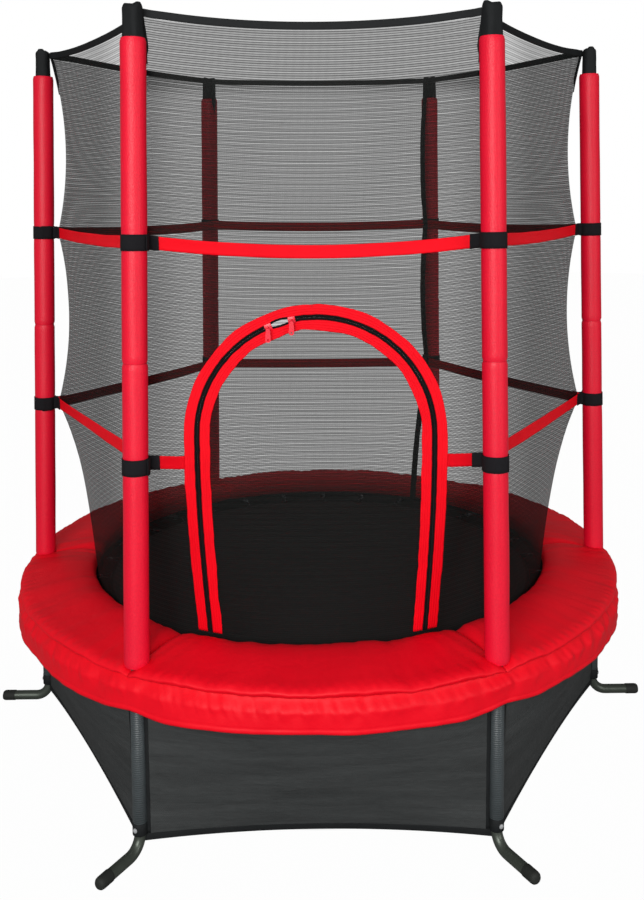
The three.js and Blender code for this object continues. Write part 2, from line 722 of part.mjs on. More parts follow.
// Prism through the front panel in the door's outline, offset from the zip's centreline.
function archPrism(offset, bottom) {
  const outline = archLine(offset, LEG_STEPS, ARCH_STEPS / 2);
  const [first] = outline;
  const last = outline[outline.length - 1];
  const closed = [[first[0], bottom], ...outline, [last[0], bottom]];
  return plate(closed, -NET_BOTTOM_RADIUS / 2, -2 * DOOR_PLANE);
}

const frontPanel = toSolid(netPanel(true));
for (let k = 0; k < SIDES; k++) {
  const middle = k * STEP + HALF;
  const isFront = Math.abs(middle - 3 * Math.PI / 2) < 1e-6;
  const geometry = isFront
    ? toGeometry(frontPanel.subtract(toSolid(archPrism(NET_CUT, doorBottom))))
    : netPanel(false);
  const panel = place(trampoline, isFront ? 'net_door_panel' : `net_panel_${k + 1}`, geometry, 'net');
  panel.rotation.z = middle - 3 * Math.PI / 2;
}

// Top hem: a binding along the net's upper edge with a pocket over each pole top.
function onPanels(build) {
  const loops = [];
  for (let k = 0; k < SIDES; k++) {
    const turn = k * STEP + HALF - 3 * Math.PI / 2;
    const door = Math.abs(turn) < 1e-6;
    for (const side of PANEL_STOPS.slice(0, -1)) {
      loops.push(build(side, door).map(p => p.applyAxisAngle(vec(0, 0, 1), turn)));
    }
  }
  return loft(loops, { closed: true, back: 2 });
}

function topHem() {
  const half = HEM_THICKNESS / 2;
  const low = netTop + CLOTH_GAP;
  const strip = onPanels((side, door) => [
    netPoint(side, HEM_TOP, -half, door),
    netPoint(side, HEM_TOP, half, door),
    netPoint(side, low, half, door),
    netPoint(side, low, -half, door),
  ]);
  let hem = toSolid(strip);
  const w = POCKET_WIDTH / 2;
  const d = POCKET_DEPTH / 2;
  const cut = POCKET_CORNER;
  const outline = [
    [-d + cut, -w], [d - cut, -w], [d, -w + cut], [d, w - cut],
    [d - cut, w], [-d + cut, w], [-d, w - cut], [-d, -w + cut],
  ];
  const loopAt = (z, shrink) => outline.map(([x, y]) =>
    vec(poleRadius(POCKET_BOTTOM) + x * shrink, y * shrink, z));
  const pocket = loft([
    loopAt(POCKET_BOTTOM, 1), loopAt(POCKET_TOP - POCKET_ROUND, 1), loopAt(POCKET_TOP, POCKET_CLOSED),
  ]);
  const bore = cylinder(POCKET_BORE / 2, POCKET_BOTTOM - THROUGH, POCKET_BORE_TOP)
    .translate(poleRadius((POCKET_BOTTOM + POLE_TOP) / 2), 0, 0);
  for (let k = 0; k < SIDES; k++) {
    hem = hem.add(toSolid(pocket.clone().rotateZ(k * STEP)));
    hem = hem.subtract(toSolid(bore.clone().rotateZ(k * STEP)));
  }
  return toGeometry(hem);
}
place(trampoline, 'net_top_hem', topHem(), 'binding');

// Strap along the net at one level, with a hook-and-loop tie round each pole's foam.
function strapSection(side, level, door) {
  const rise = STRAP_WIDTH / 2;
  const base = netPlace(side, level, door).out;
  const proud = Math.max(...[-rise, 0, rise].map(dz => netPlace(side, level + dz, door).out)) - base;
  const near = proud + faceOffset + STRAP_EASE;
  const far = near + STRAP_THICKNESS;
  return [[near, -rise], [far, -rise], [far, rise], [near, rise]].map(([offset, dz]) => {
    const point = netPoint(side, level, offset, door);
    return point.setZ(point.z + dz);
  });
}

function ties(level) {
  const inner = FOAM_DIAMETER / 2 + CLOTH_GAP;
  const outer = inner + TIE_THICKNESS;
  const bottom = level - TIE_HEIGHT / 2;
  const loop = roundPole(inner, outer, bottom, bottom + TIE_HEIGHT);
  const reach = TIE_LINK + 2 * STRAP_THICKNESS;
  const linkEnd = poleRadius(level) - inner - TIE_THICKNESS / 2;
  const link = box(reach, TIE_LINK_WIDTH, STRAP_WIDTH, linkEnd - reach / 2, 0, level);
  return join([loop, link]);
}

function withTies(strap, level) {
  const tie = ties(level);
  let solid = toSolid(strap);
  for (let k = 0; k < SIDES; k++) {
    solid = solid.add(tie.rotate([0, 0, THREE.MathUtils.radToDeg(k * STEP)]));
  }
  return toGeometry(solid);
}

const upperStrap = onPanels((side, door) => strapSection(side, UPPER_TIE, door));
place(trampoline, 'upper_strap', withTies(upperStrap, UPPER_TIE), 'webbing');

// The lower strap starts and ends at the door's tapes.
function lowerStrap() {
  const doorEdge = ARCH_RADIUS + TAPE_OUTER_EDGE + CLOTH_GAP;
  const doorSide = doorEdge / halfWidth(LOWER_TIE);
  const between = (1 + doorSide) / 2;
  const loops = [strapSection(doorSide, LOWER_TIE, true), strapSection(between, LOWER_TIE, true)];
  for (let k = 1; k < SIDES; k++) {
    for (const side of PANEL_STOPS.slice(0, -1)) {
      const section = strapSection(side, LOWER_TIE);
      loops.push(section.map(p => p.applyAxisAngle(vec(0, 0, 1), k * STEP)));
    }
  }
  loops.push(strapSection(-1, LOWER_TIE, true));
  loops.push(strapSection(-between, LOWER_TIE, true));
  loops.push(strapSection(-doorSide, LOWER_TIE, true));
  return loft(loops, { back: 2 });
}
place(trampoline, 'lower_strap', withTies(lowerStrap(), LOWER_TIE), 'webbing');

// ---------------------------------------------------------------- zip door

const flap = frontPanel.intersect(toSolid(archPrism(-NET_CUT, doorBottom + FLAP_GAP)));
place(trampoline, 'door_flap', toGeometry(flap), 'net');
for (const [name, side] of [['outer', 1], ['inner', -1]]) {
  const tape = archStrip(side * TAPE_INNER_EDGE, side * TAPE_OUTER_EDGE, TAPE_THICKNESS);
  const coil = archStrip(side * COIL_INNER_EDGE, side * COIL_OUTER_EDGE, ZIP_THICKNESS);
  place(trampoline, `door_tape_${name}`, tape, 'webbing');
  place(trampoline, `zip_coil_${name}`, coil, 'zip');
}

// A slider holds the outer coil between its plates and carries a bridge for the pull.
const coilBack = DOOR_PLANE + NET_THICKNESS / 2 + TAPE_LIFT;
const coilFront = coilBack + ZIP_THICKNESS;
const plateBack = coilFront + SLIDER_GAP;
const plateFront = plateBack + SLIDER_PLATE;
const bridgeAxis = plateFront + BRIDGE_REACH;
function sliderBody() {
  const half = SLIDER_LENGTH / 2;
  const wide = SLIDER_WIDTH / 2;
  const cut = SLIDER_CORNER;
  const front = plate([
    [-half, cut - wide], [cut - half, -wide], [half, cut / 2 - wide],
    [half, wide - cut / 2], [cut - half, wide], [-half, wide - cut],
  ], -plateBack, -plateFront);
  const backFront = coilBack - SLIDER_GAP;
  const throat = plateBack - backFront + BACK_PLATE;
  const neck = box(SLIDER_NECK, throat, NECK_WALL, 0, -(plateBack + backFront) / 2, 0);
  const backPlate = box(
    SLIDER_LENGTH - 2, BACK_PLATE, COIL_OUTER_EDGE, 0, -(backFront - BACK_PLATE / 2), COIL_OUTER_EDGE / 2);
  const reach = BRIDGE_REACH + BRIDGE_BAR;
  const post = side => box(
    BRIDGE_BAR, reach, BRIDGE_BAR, side * (half - BRIDGE_BAR), -(plateFront + BRIDGE_REACH / 2), 0);
  const bridge = box(SLIDER_LENGTH - 2 * BRIDGE_BAR, BRIDGE_BAR, BRIDGE_BAR, 0, -bridgeAxis, 0);
  return toGeometry(join([front, neck, backPlate, post(-1), post(1), bridge]));
}

// The pull hooks over the bridge by the eye at its top and has a hole for a cord below.
function pullTab() {
  const half = PULL_WIDTH / 2;
  const eye = PULL_EYE_WIDTH / 2;
  const top = PULL_EYE_CLEAR + PULL_EYE_WALL;
  const tip = -PULL_LENGTH + half;
  const outline = new THREE.Shape();
  outline.moveTo(-eye, top);
  outline.lineTo(-0.8 * half, -4);
  outline.lineTo(-half, tip);
  outline.absarc(0, tip, half, Math.PI, 2 * Math.PI, false);
  outline.lineTo(0.8 * half, -4);
  outline.lineTo(eye, top);
  const hole = new THREE.Path();
  hole.absarc(0, tip, 1.8, 0, 2 * Math.PI, true);
  outline.holes.push(hole);
  const tab = new THREE.ExtrudeGeometry(
    outline, { depth: PULL_THICKNESS, bevelEnabled: false, curveSegments: 5 })
    .rotateX(Math.PI / 2)
    .translate(0, -(bridgeAxis + PULL_EYE_CLEAR), 0);
  const depth = PULL_THICKNESS + PULL_EYE_CLEAR + top;
  const middle = (PULL_THICKNESS + PULL_EYE_CLEAR - top) / 2;
  const over = box(
    PULL_EYE_WIDTH, depth, PULL_EYE_WALL, 0, -(bridgeAxis + middle), top - PULL_EYE_WALL / 2);
  const behind = box(
    PULL_EYE_WIDTH, PULL_EYE_WALL, PULL_EYE_CLEAR + top, 0,
    -(bridgeAxis - PULL_EYE_CLEAR - PULL_EYE_WALL / 2), (top - PULL_EYE_CLEAR) / 2);
  return toGeometry(join([tab, over, behind]));
}

for (const [name, degrees] of [['left', LEFT_SLIDER], ['right', RIGHT_SLIDER]]) {
  const turn = rad(degrees);
  const onArch = new THREE.Group();
  onArch.position.set(ARCH_RADIUS * Math.sin(turn), 0, ARCH_CENTRE + ARCH_RADIUS * Math.cos(turn));
  trampoline.add(onArch);
  place(onArch, `zip_slider_${name}`, sliderBody(), 'slider').rotation.y = turn;
  place(onArch, `zip_pull_${name}`, pullTab(), 'slider');
}

// ---------------------------------------------------------------- skirt

// The skirt hangs from under the round ring and is pulled flat between the legs below.
function skirt() {
  const top = RING_HEIGHT - SLEEVE_OUTER / 2 - CLOTH_GAP;
  const half = SKIRT_THICKNESS / 2;
  const loops = [];
  for (let k = 0; k < SIDES; k++) {
    const turn = k * STEP + HALF - 3 * Math.PI / 2;
    for (let j = 0; j < SKIRT_STEPS; j++) {
      const side = -1 + (2 * j) / SKIRT_STEPS;
      const x = side * RING_RADIUS * Math.sin(HALF);
      const round = Math.sqrt(RING_RADIUS ** 2 - x ** 2);
      const flat = RING_RADIUS * Math.cos(HALF);
      const low = SKIRT_BOTTOM + SKIRT_ARCH * (1 - side * side);
      const at = (t, offset) => vec(
        x + side * offset * Math.tan(HALF), -(mix(round, flat, t) + offset), mix(top, low, t));
      const hem = 1 - SKIRT_HEM / (top - low);
      const loop = [
        at(0, -half), at(0, half), at(hem, half),
        at(hem, half + SKIRT_FOLD), at(1, half + SKIRT_FOLD), at(1, -half), at(hem, -half),
      ];
      loops.push(loop.map(p => p.applyAxisAngle(vec(0, 0, 1), turn)));
    }
  }
  let solid = toSolid(loft(loops, { closed: true, back: 5 }));
  const sleeveTop = RING_HEIGHT - SOCKET_BELOW - CLOTH_GAP;
  const cuff = capAxis + FOOT_BEND - CUFF_REACH;
  const round = (diameter, bottom, height) =>
    cylinder(diameter / 2, bottom, height, TUBE_SIDES).rotateZ(Math.PI / TUBE_SIDES);
  for (let k = 0; k < SIDES; k++) {
    const at = shape => toSolid(shape.translate(RING_RADIUS, 0, 0).rotateZ(k * STEP));
    const socket = SOCKET_OUTER + 2 * SKIRT_CLEAR;
    solid = solid.subtract(at(round(socket, sleeveTop - SKIRT_FOLD, top + THROUGH)));
    solid = solid.add(at(round(SKIRT_SLEEVE, cuff, sleeveTop)));
    solid = solid.subtract(at(round(SKIRT_BORE, SKIRT_BOTTOM - THROUGH, sleeveTop + THROUGH)));
  }
  return toGeometry(solid);
}
place(trampoline, 'skirt', skirt(), 'skirt');

export default trampoline;
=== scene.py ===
import math
from functools import partial

import bmesh
import bpy
from mathutils import Matrix, Vector, noise


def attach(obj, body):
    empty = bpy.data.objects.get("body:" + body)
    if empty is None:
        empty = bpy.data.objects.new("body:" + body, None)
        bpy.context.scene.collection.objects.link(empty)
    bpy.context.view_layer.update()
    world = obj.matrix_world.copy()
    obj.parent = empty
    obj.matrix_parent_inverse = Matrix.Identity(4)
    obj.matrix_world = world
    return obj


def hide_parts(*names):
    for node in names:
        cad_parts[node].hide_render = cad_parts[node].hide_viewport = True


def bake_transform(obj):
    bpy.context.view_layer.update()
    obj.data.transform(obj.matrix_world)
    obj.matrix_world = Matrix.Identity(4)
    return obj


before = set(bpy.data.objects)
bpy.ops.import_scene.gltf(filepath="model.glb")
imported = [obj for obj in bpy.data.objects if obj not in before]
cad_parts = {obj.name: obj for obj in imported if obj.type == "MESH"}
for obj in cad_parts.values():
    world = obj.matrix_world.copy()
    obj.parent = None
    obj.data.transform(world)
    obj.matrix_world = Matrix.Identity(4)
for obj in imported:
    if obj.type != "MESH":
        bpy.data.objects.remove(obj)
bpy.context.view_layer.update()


def put(name, data):
    """A new object in the scene."""
    made = bpy.data.objects.new(name, data)
    bpy.context.scene.collection.objects.link(made)
    return made


# ------------------------------------------------------------------------------ view
# The picture is taken from the door side, at the height of the upper strap and tilted
# down a little. The middle of the lens lies high in the frame, so the frame is shifted.
lens = bpy.data.cameras.new("camera")
lens.sensor_fit = "VERTICAL"
lens.sensor_height = 36
lens.lens = 39.31
lens.shift_x = -0.02
lens.shift_y = -0.2053
viewer = put("camera", lens)
viewer.matrix_world = (
    Matrix.Translation((0.0293, -2.3688, 1.242))
    @ Matrix.Rotation(math.radians(-0.559), 4, "Z")
    @ Matrix.Rotation(math.radians(86), 4, "X")
    @ Matrix.Rotation(math.radians(-0.338), 4, "Z")
)
bpy.context.scene.camera = viewer
bpy.context.scene.view_settings.view_transform = "Standard"


# ---------------------------------------------------------------------- floor and light
# A white studio: even light from all round, weak in reflections, one wide lamp in front
# and a little to the left, a weaker one on the right and two low ones behind. The floor
# is white to the eye, but not in the shade under the trampoline.
def add(tree, kind, sockets=None, **settings):
    """A shader node; a socket is given a value or another node's output."""
    made = tree.nodes.new("ShaderNode" + kind)
    for name, value in settings.items():
        setattr(made, name, value)
    for name, value in (sockets or {}).items():
        if isinstance(value, bpy.types.NodeSocket):
            tree.links.new(value, made.inputs[name])
        else:
            made.inputs[name].default_value = value
    return made


def maths(tree, operation, first, second=0.0, third=0.0):
    return add(tree, "Math", {0: first, 1: second, 2: third}, operation=operation).outputs[0]


def seen_rays(tree):
    """1 for rays that show the background: straight or through something clear."""
    path = add(tree, "LightPath").outputs
    return maths(tree, "MAXIMUM", path["Is Camera Ray"], path["Is Transmission Ray"])


def on_object(tree):
    """Place on the object, for patterns that run through it."""
    return add(tree, "TexCoord").outputs["Object"]


def bare_tree(owner):
    """The node tree of a world or a material, with nothing in it."""
    owner.use_nodes = True
    owner.node_tree.nodes.clear()
    return owner.node_tree


bpy.context.scene.world = bpy.data.worlds.new("studio")
tree = bare_tree(bpy.context.scene.world)
mirrored = add(tree, "LightPath").outputs["Is Glossy Ray"]
WORLD_LEVEL = 0.41
MIRRORED_LEVEL = 0.09
level = maths(tree, "MULTIPLY_ADD", mirrored, MIRRORED_LEVEL - WORLD_LEVEL, WORLD_LEVEL)
light = add(tree, "Background", {"Color": (1, 1, 1, 1), "Strength": level})
backdrop = add(tree, "Background", {"Color": (1, 1, 1, 1)})
either = add(tree, "MixShader", {0: seen_rays(tree), 1: light.outputs[0], 2: backdrop.outputs[0]})
add(tree, "OutputWorld", {"Surface": either.outputs[0]})

floor_paint = bpy.data.materials.new("floor")
tree = bare_tree(floor_paint)
matte = add(tree, "BsdfDiffuse", {"Color": (0.25, 0.25, 0.25, 1)})
white = add(tree, "Emission", {"Color": (1, 1, 1, 1)})
spread = add(tree, "VectorMath", {0: on_object(tree), 1: (0, 0.06, 0)}, operation="DISTANCE")
outside = add(tree, "MapRange", {0: spread.outputs["Value"], 1: 0.56, 2: 0.58, 4: 0.985})
share = maths(tree, "MULTIPLY", seen_rays(tree), outside.outputs[0])
both = add(tree, "MixShader", {0: share, 1: matte.outputs[0], 2: white.outputs[0]})
add(tree, "OutputMaterial", {"Surface": both.outputs[0]})

form = bmesh.new()
bmesh.ops.create_circle(form, cap_ends=True, segments=64, radius=14)
ground = bpy.data.meshes.new("floor")
form.to_mesh(ground)
form.free()
ground.materials.append(floor_paint)
put("floor", ground)

for name, place, size, power in [
    ("key", (-0.8, -4.1, 1.9), 2.2, 132),
    ("fill", (2.8, -3.0, 1.3), 1.6, 30),
    ("back_left", (-3.4, 2.8, 1.3), 1.8, 26),
    ("back_right", (3.4, 2.8, 1.3), 1.8, 26),
]:
    lamp = bpy.data.lights.new(name, "AREA")
    lamp.size = size
    lamp.energy = power
    lamp_object = put(name, lamp)
    lamp_object.visible_glossy = "back" not in name
    toward = (Vector((0, 0, 0.7)) - Vector(place)).to_track_quat("-Z", "Y")
    lamp_object.matrix_world = Matrix.Translation(place) @ toward.to_matrix().to_4x4()


# ------------------------------------------------------------------------- jump mat
# Black woven polypropylene, 1 m across. A folded band is stitched round its edge and
# holds thirty triangular wire rings. The mat lies taut and level between the springs.
MAT_RADIUS = 0.5
MAT_TOP = 0.340


def srgb(red, green, blue):
    """A colour read as it looks on a screen, 0 to 255, as the shader's linear values."""
    linear = lambda c: c / 12.92 if c <= 0.04045 else ((c + 0.055) / 1.055) ** 2.4
    return (linear(red / 255), linear(green / 255), linear(blue / 255), 1)


def polar(radius, angle, z):
    return Vector((radius * math.cos(angle), radius * math.sin(angle), z))


def ease(low, high, x):
    """0 below low, 1 above high, and smooth between them."""
    t = min(1, max(0, (x - low) / (high - low)))
    return t * t * (3 - 2 * t)


def grown(columns, rows, place, cloth=(1, 1)):
    """A surface grown from a grid. place(u, v) puts each point. cloth is the flat cloth's
    size in metres, or a function of u and v that gives the place on it, for the weave."""
    unroll = cloth if callable(cloth) else lambda u, v: (u * cloth[0], v * cloth[1])
    form = bmesh.new()
    bmesh.ops.create_grid(form, x_segments=columns, y_segments=rows, size=0.5)
    flat = form.loops.layers.uv.new("cloth")
    spot = {point: (point.co.x + 0.5, point.co.y + 0.5) for point in form.verts}
    for face in form.faces:
        for corner in face.loops:
            corner[flat].uv = unroll(*spot[corner.vert])
    for point, at in spot.items():
        point.co = place(*at)
    bmesh.ops.remove_doubles(form, verts=form.verts, dist=2e-5)
    return form


def piece(form, name, finish, body="frame", crease=40, outward=None):
    """The finished object: faces out, smooth but for sharp edges, riding on its body."""
    bmesh.ops.recalc_face_normals(form, faces=form.faces)
    if outward and sum(face.normal.dot(outward(face.calc_center_median())) for face in form.faces) < 0:
        bmesh.ops.reverse_faces(form, faces=form.faces)
    mesh = bpy.data.meshes.new(name)
    form.to_mesh(mesh)
    form.free()
    mesh.materials.append(finish)
    mesh.shade_smooth()
    mesh.set_sharp_from_angle(angle=math.radians(crease))
    made = put(name, mesh)
    if body:
        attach(made, body)
    return made


def sideways(at):
    """The way out for cloth that hangs round the middle."""
    return Vector((at.x, at.y, 0))


def thick(made, thickness, offset=-1.0):
    """Gives a sheet its thickness, inwards unless offset says otherwise."""
    wall = made.modifiers.new("thickness", "SOLIDIFY")
    wall.thickness = thickness
    wall.offset = offset
    return made


def material(name, colour, roughness, **sockets):
    """A material with one Principled shader; sockets gives the shader's other values."""
    made = bpy.data.materials.new(name)
    made.use_nodes = True
    shader = made.node_tree.nodes["Principled BSDF"]
    shader.inputs["Base Color"].default_value = colour
    shader.inputs["Roughness"].default_value = roughness
    for key, value in sockets.items():
        shader.inputs[key.replace("_", " ")].default_value = value
    return made, made.node_tree, shader


def group(name, inputs, outputs):
    """An empty shader node group with named inputs (name, default) and outputs."""
    made = bpy.data.node_groups.new(name, "ShaderNodeTree")
    for key, default in inputs:
        kind = "NodeSocketVector" if isinstance(default, tuple) else "NodeSocketFloat"
        made.interface.new_socket(key, in_out="INPUT", socket_type=kind).default_value = default
    for key in outputs:
        made.interface.new_socket(key, in_out="OUTPUT", socket_type="NodeSocketFloat")
    return made, made.nodes.new("NodeGroupInput"), made.nodes.new("NodeGroupOutput")


def use(tree, shared, **sockets):
    """A group placed in a material with that material's own values."""
    return add(tree, "Group", sockets, node_tree=shared)


def tinted(tree, shader, colour, light, value, dark=0.75):
    """Base colour that varies from a darker to a lighter tone with value, 0 to 1."""
    deep = tuple(c * dark for c in colour[:3]) + (1,)
    pale = tuple(min(1, c * light) for c in colour[:3]) + (1,)
    mixed = add(tree, "Mix", {0: value, 6: deep, 7: pale}, data_type="RGBA")
    tree.links.new(mixed.outputs[2], shader.inputs["Base Color"])


def bumped(tree, shader, height, distance, strength=1.0, normal=None):
    sockets = {"Height": height, "Distance": distance, "Strength": strength}
    if normal:
        sockets["Normal"] = normal
    bump = add(tree, "Bump", sockets)
    tree.links.new(bump.outputs[0], shader.inputs["Normal"])
    return bump.outputs[0]


def glossed(tree, shader, value, share, start):
    """Roughness that follows value, 0 to 1, over a share from a start."""
    tree.links.new(maths(tree, "MULTIPLY_ADD", value, share, start), shader.inputs["Roughness"])


def wave_of(tree, position, pitch, phase=0.0):
    """0 to 1 and back at a pitch, for ribs and rows."""
    turn = maths(tree, "MULTIPLY_ADD", position, 2 * math.pi / pitch, phase)
    return maths(tree, "MULTIPLY_ADD", maths(tree, "SINE", turn), 0.5, 0.5)


# Plain weave: over and under threads, with so many to the metre each way
weave, given, out = group("weave", [("Cloth", (0.0, 0.0, 0.0)), ("Across", 500.0), ("Along", 500.0)],
                          ["Height", "Check"])
spread = add(weave, "SeparateXYZ", {0: given.outputs["Cloth"]})
waves = []
for way, count in enumerate(["Across", "Along"]):
    turns = maths(weave, "MULTIPLY", spread.outputs[way], given.outputs[count])
    waves.append(maths(weave, "SINE", maths(weave, "MULTIPLY", turns, math.pi)))
warp, weft = waves
check = maths(weave, "MULTIPLY_ADD", maths(weave, "MULTIPLY", warp, weft), 0.5, 0.5)
ridge = maths(weave, "MAXIMUM", maths(weave, "ABSOLUTE", warp), maths(weave, "ABSOLUTE", weft))
height = maths(weave, "MULTIPLY_ADD", check, 0.4, maths(weave, "MULTIPLY", ridge, 0.6))
weave.links.new(height, out.inputs["Height"])
weave.links.new(check, out.inputs["Check"])

# Uneven colour and dust: soft clouds with a finer mottle in them
mottle, given, out = group("mottle", [("Place", (0.0, 0.0, 0.0)), ("Cloud", 6.0), ("Fine", 90.0)],
                           ["Tone", "Grain"])
noises = []
for scale, detail in (("Cloud", 4.0), ("Fine", 3.0)):
    sockets = {"Vector": given.outputs["Place"], "Scale": given.outputs[scale], "Detail": detail}
    noises.append(add(mottle, "TexNoise", sockets).outputs[0])
cloud, fine = noises
tone = maths(mottle, "MULTIPLY_ADD", cloud, 0.7, maths(mottle, "MULTIPLY", fine, 0.3))
mottle.links.new(tone, out.inputs["Tone"])
mottle.links.new(fine, out.inputs["Grain"])


def on_cloth(tree):
    """Place on the flat cloth, for patterns that follow its threads."""
    return add(tree, "UVMap", uv_map="cloth").outputs[0]


def spotted(tree, cloud, fine):
    return use(tree, mottle, Place=on_object(tree), Cloud=cloud, Fine=fine).outputs


def woven(tree, across, along):
    return use(tree, weave, Cloth=on_cloth(tree), Across=across, Along=along).outputs


def uneven(name, colour, roughness, clouds, tones, threads=None, bump=None, soft=None, gloss=None, by="Tone",
           **sockets):
    """A material whose colour clouds between two tones. clouds has the scales of clouds and
    grain, threads the weave's count each way, bump and soft a depth and a strength, and
    gloss what the roughness follows, how far, and from where."""
    made, tree, shader = material(name, colour, roughness, **sockets)
    spots = spotted(tree, *clouds)
    tinted(tree, shader, colour, tones[0], spots[by], tones[1])
    height = woven(tree, *threads)["Height"] if threads else spots["Grain"]
    under = bumped(tree, shader, spots["Grain"], *soft) if soft else None
    if bump:
        bumped(tree, shader, height, *bump, under)
    if gloss:
        follow, share, start = gloss
        glossed(tree, shader, spots[follow], share, start)
    return made


mat_cloth = uneven("mat_cloth", srgb(46, 44, 44), 0.62, (5, 220), (1.25, 0.7), threads=(450, 450),
                   bump=(0.0004, 0.8), Specular_IOR_Level=0.18)
band_black = srgb(22, 22, 23)
band_cloth, tree, shader = material("band_cloth", band_black, 0.7, Specular_IOR_Level=0.2)
threads = woven(tree, 900, 260)
bumped(tree, shader, threads["Height"], 0.0006)
tinted(tree, shader, band_black, 1.5, threads["Check"], 0.7)


RIM_SHARE = 0.86                      # of the grid's rows; the rest is folded under
RIM_FOLD = 0.0004


def mat_point(u, v):
    """Across the top from the middle out, over the folded rim and back under it."""
    angle = 2 * math.pi * u
    if v < RIM_SHARE:
        radius = MAT_RADIUS * v / RIM_SHARE
        lift = RIM_FOLD * (ease(0.474, 0.478, radius) - ease(0.4965, 0.5, radius))
        return polar(radius, angle, MAT_TOP - RIM_FOLD + lift)
    turn = (v - RIM_SHARE) / (1 - RIM_SHARE)
    return polar(MAT_RADIUS - 0.03 * turn * turn, angle, MAT_TOP - RIM_FOLD - 0.0024 * min(1, turn * 3))


mat = piece(grown(96, 50, mat_point, lambda u, v: polar(MAT_RADIUS * v, 2 * math.pi * u, 0).xy),
            "mat_cloth", mat_cloth, "mat")
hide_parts("jump_mat")

# Band and two rows of stitches
BAND_SECTION = [(0.478, 0.3365), (0.506, 0.3365), (0.5068, 0.3353), (0.506, 0.3341), (0.478, 0.3341)]


def band_point(u, v):
    radius, z = BAND_SECTION[round(v * 4)]
    return polar(radius, 2 * math.pi * u, z)


piece(grown(120, 4, band_point, (3.1, 0.06)), "mat_edge_band", band_cloth, "mat")


def filled(form):
    bmesh.ops.holes_fill(form, edges=[edge for edge in form.edges if edge.is_boundary], sides=0)
    return form


def wire(path, radius, sides=6, closed=False):
    """A round wire along a list of points, with flat ends."""
    if closed:
        path = path + [path[0]]
    count = len(path) - 1
    ahead = [(path[min(k + 1, count)] - path[max(k - 1, 0)]).normalized() for k in range(count + 1)]
    if closed:
        ahead[0] = ahead[-1] = (path[1] - path[-2]).normalized()
    side = ahead[0].orthogonal().normalized()
    frames = []
    for k, point in enumerate(path):
        side = (side - ahead[k] * side.dot(ahead[k])).normalized()
        frames.append((point, side, ahead[k].cross(side)))
    if closed:
        frames[-1] = frames[0]

    def around(u, v):
        point, right, up = frames[round(v * count)]
        angle = 2 * math.pi * u
        return point + right * (radius * math.cos(angle)) + up * (radius * math.sin(angle))

    form = grown(sides, count, around, (2 * math.pi * radius, count * radius))
    return form if closed else filled(form)


def gathered(forms):
    """Several forms as one mesh."""
    whole = bmesh.new()
    for form in forms:
        mesh = bpy.data.meshes.new("part")
        form.to_mesh(mesh)
        form.free()
        whole.from_mesh(mesh)
        bpy.data.meshes.remove(mesh)
    return whole


thread_black = uneven("thread_black", srgb(44, 44, 46), 0.6, (40, 900), (1.5, 0.6))


def stitches(points, length, radius):
    """Short raised threads along a path, one for each step of the given length."""
    form = bmesh.new()
    for a, b in zip(points, points[1:]):
        count = max(1, round((b - a).length / length))
        turn = (b - a).to_track_quat("X", "Z").to_matrix().to_4x4()
        shape = turn @ Matrix.Diagonal(((b - a).length * 0.32 / count, radius, radius, 1))
        for k in range(count):
            place = Matrix.Translation(a.lerp(b, (k + 0.5) / count)) @ shape
            bmesh.ops.create_icosphere(form, subdivisions=1, radius=1, matrix=place)
    return form


rows = [stitches([polar(radius, k * math.pi / 60, MAT_TOP + 0.0001) for k in range(121)], 0.0065, 0.0005)
        for radius in (0.4815, 0.4965)]
piece(gathered(rows), "mat_stitches", thread_black, "mat", crease=80)

# ----------------------------------------------------------------- rings and springs
# Each triangular ring of zinced wire is sewn into the mat's band. A close-wound coil
# spring hooks it to a hole in the steel ring. Thirty springs hold the mat.
SPRINGS = 30
RING_RADIUS = 0.675
RING_HEIGHT = 0.335
SPRING_WIRE = 0.0013

zinc = uneven("zinc", srgb(132, 134, 138), 0.28, (60, 700), (1.1, 0.72), bump=(0.0001, 0.5),
              gloss=("Grain", 0.3, 0.15), Metallic=1.0)
dark_wire = uneven("dark_wire", srgb(62, 62, 64), 0.4, (60, 700), (1.3, 0.7), Metallic=0.8)

TRIANGLE = [(0.5055, -0.0145), (0.5055, 0.0145), (0.5075, 0.0155), (0.5285, 0.0022), (0.5315, 0.0),
            (0.5285, -0.0022), (0.5075, -0.0155)]
spring_turns = [Matrix.Rotation((k + 0.5) * 2 * math.pi / SPRINGS, 4, "Z") for k in range(SPRINGS)]
rings = [wire([turn @ Vector((x, y, 0.3352)) for x, y in TRIANGLE], 0.0014, closed=True)
         for turn in spring_turns]
eyes = piece(gathered(rings), "mat_rings", dark_wire, "mat", crease=60)

COIL_START = 0.556
COIL_END = 0.642
COIL_RADIUS = 0.0066
COIL_STEPS = 28 * 8                   # turns, and steps in each
MAT_HOOK = [(0.5330, -0.0035), (0.5285, -0.0034), (0.5262, -0.0005), (0.5285, 0.0028), (0.5350, 0.0025),
            (0.5480, 0.0005)]
RING_HOOK = [(0.650, 0.0005), (0.6590, 0.0010), (0.6660, 0.0006), (0.6690, -0.0015), (0.6695, -0.0050)]
coil = []
for k in range(COIL_STEPS + 1):
    radius = COIL_RADIUS * min(1, k / 6, (COIL_STEPS - k) / 6)
    coil.append((COIL_START + (COIL_END - COIL_START) * k / COIL_STEPS,
                 radius * math.sin(k * math.pi / 4), radius * math.cos(k * math.pi / 4)))
path = [(x, 0, z) for x, z in MAT_HOOK] + coil + [(x, 0, z) for x, z in RING_HOOK]
for number, turn in enumerate(spring_turns):
    place = Matrix.Translation((0, 0, RING_HEIGHT)) @ turn
    spring = piece(wire([place @ Vector(point) for point in path], SPRING_WIRE), f"spring_{number + 1}", zinc,
                   body=None, crease=70)
    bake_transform(spring)
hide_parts("spring_set")

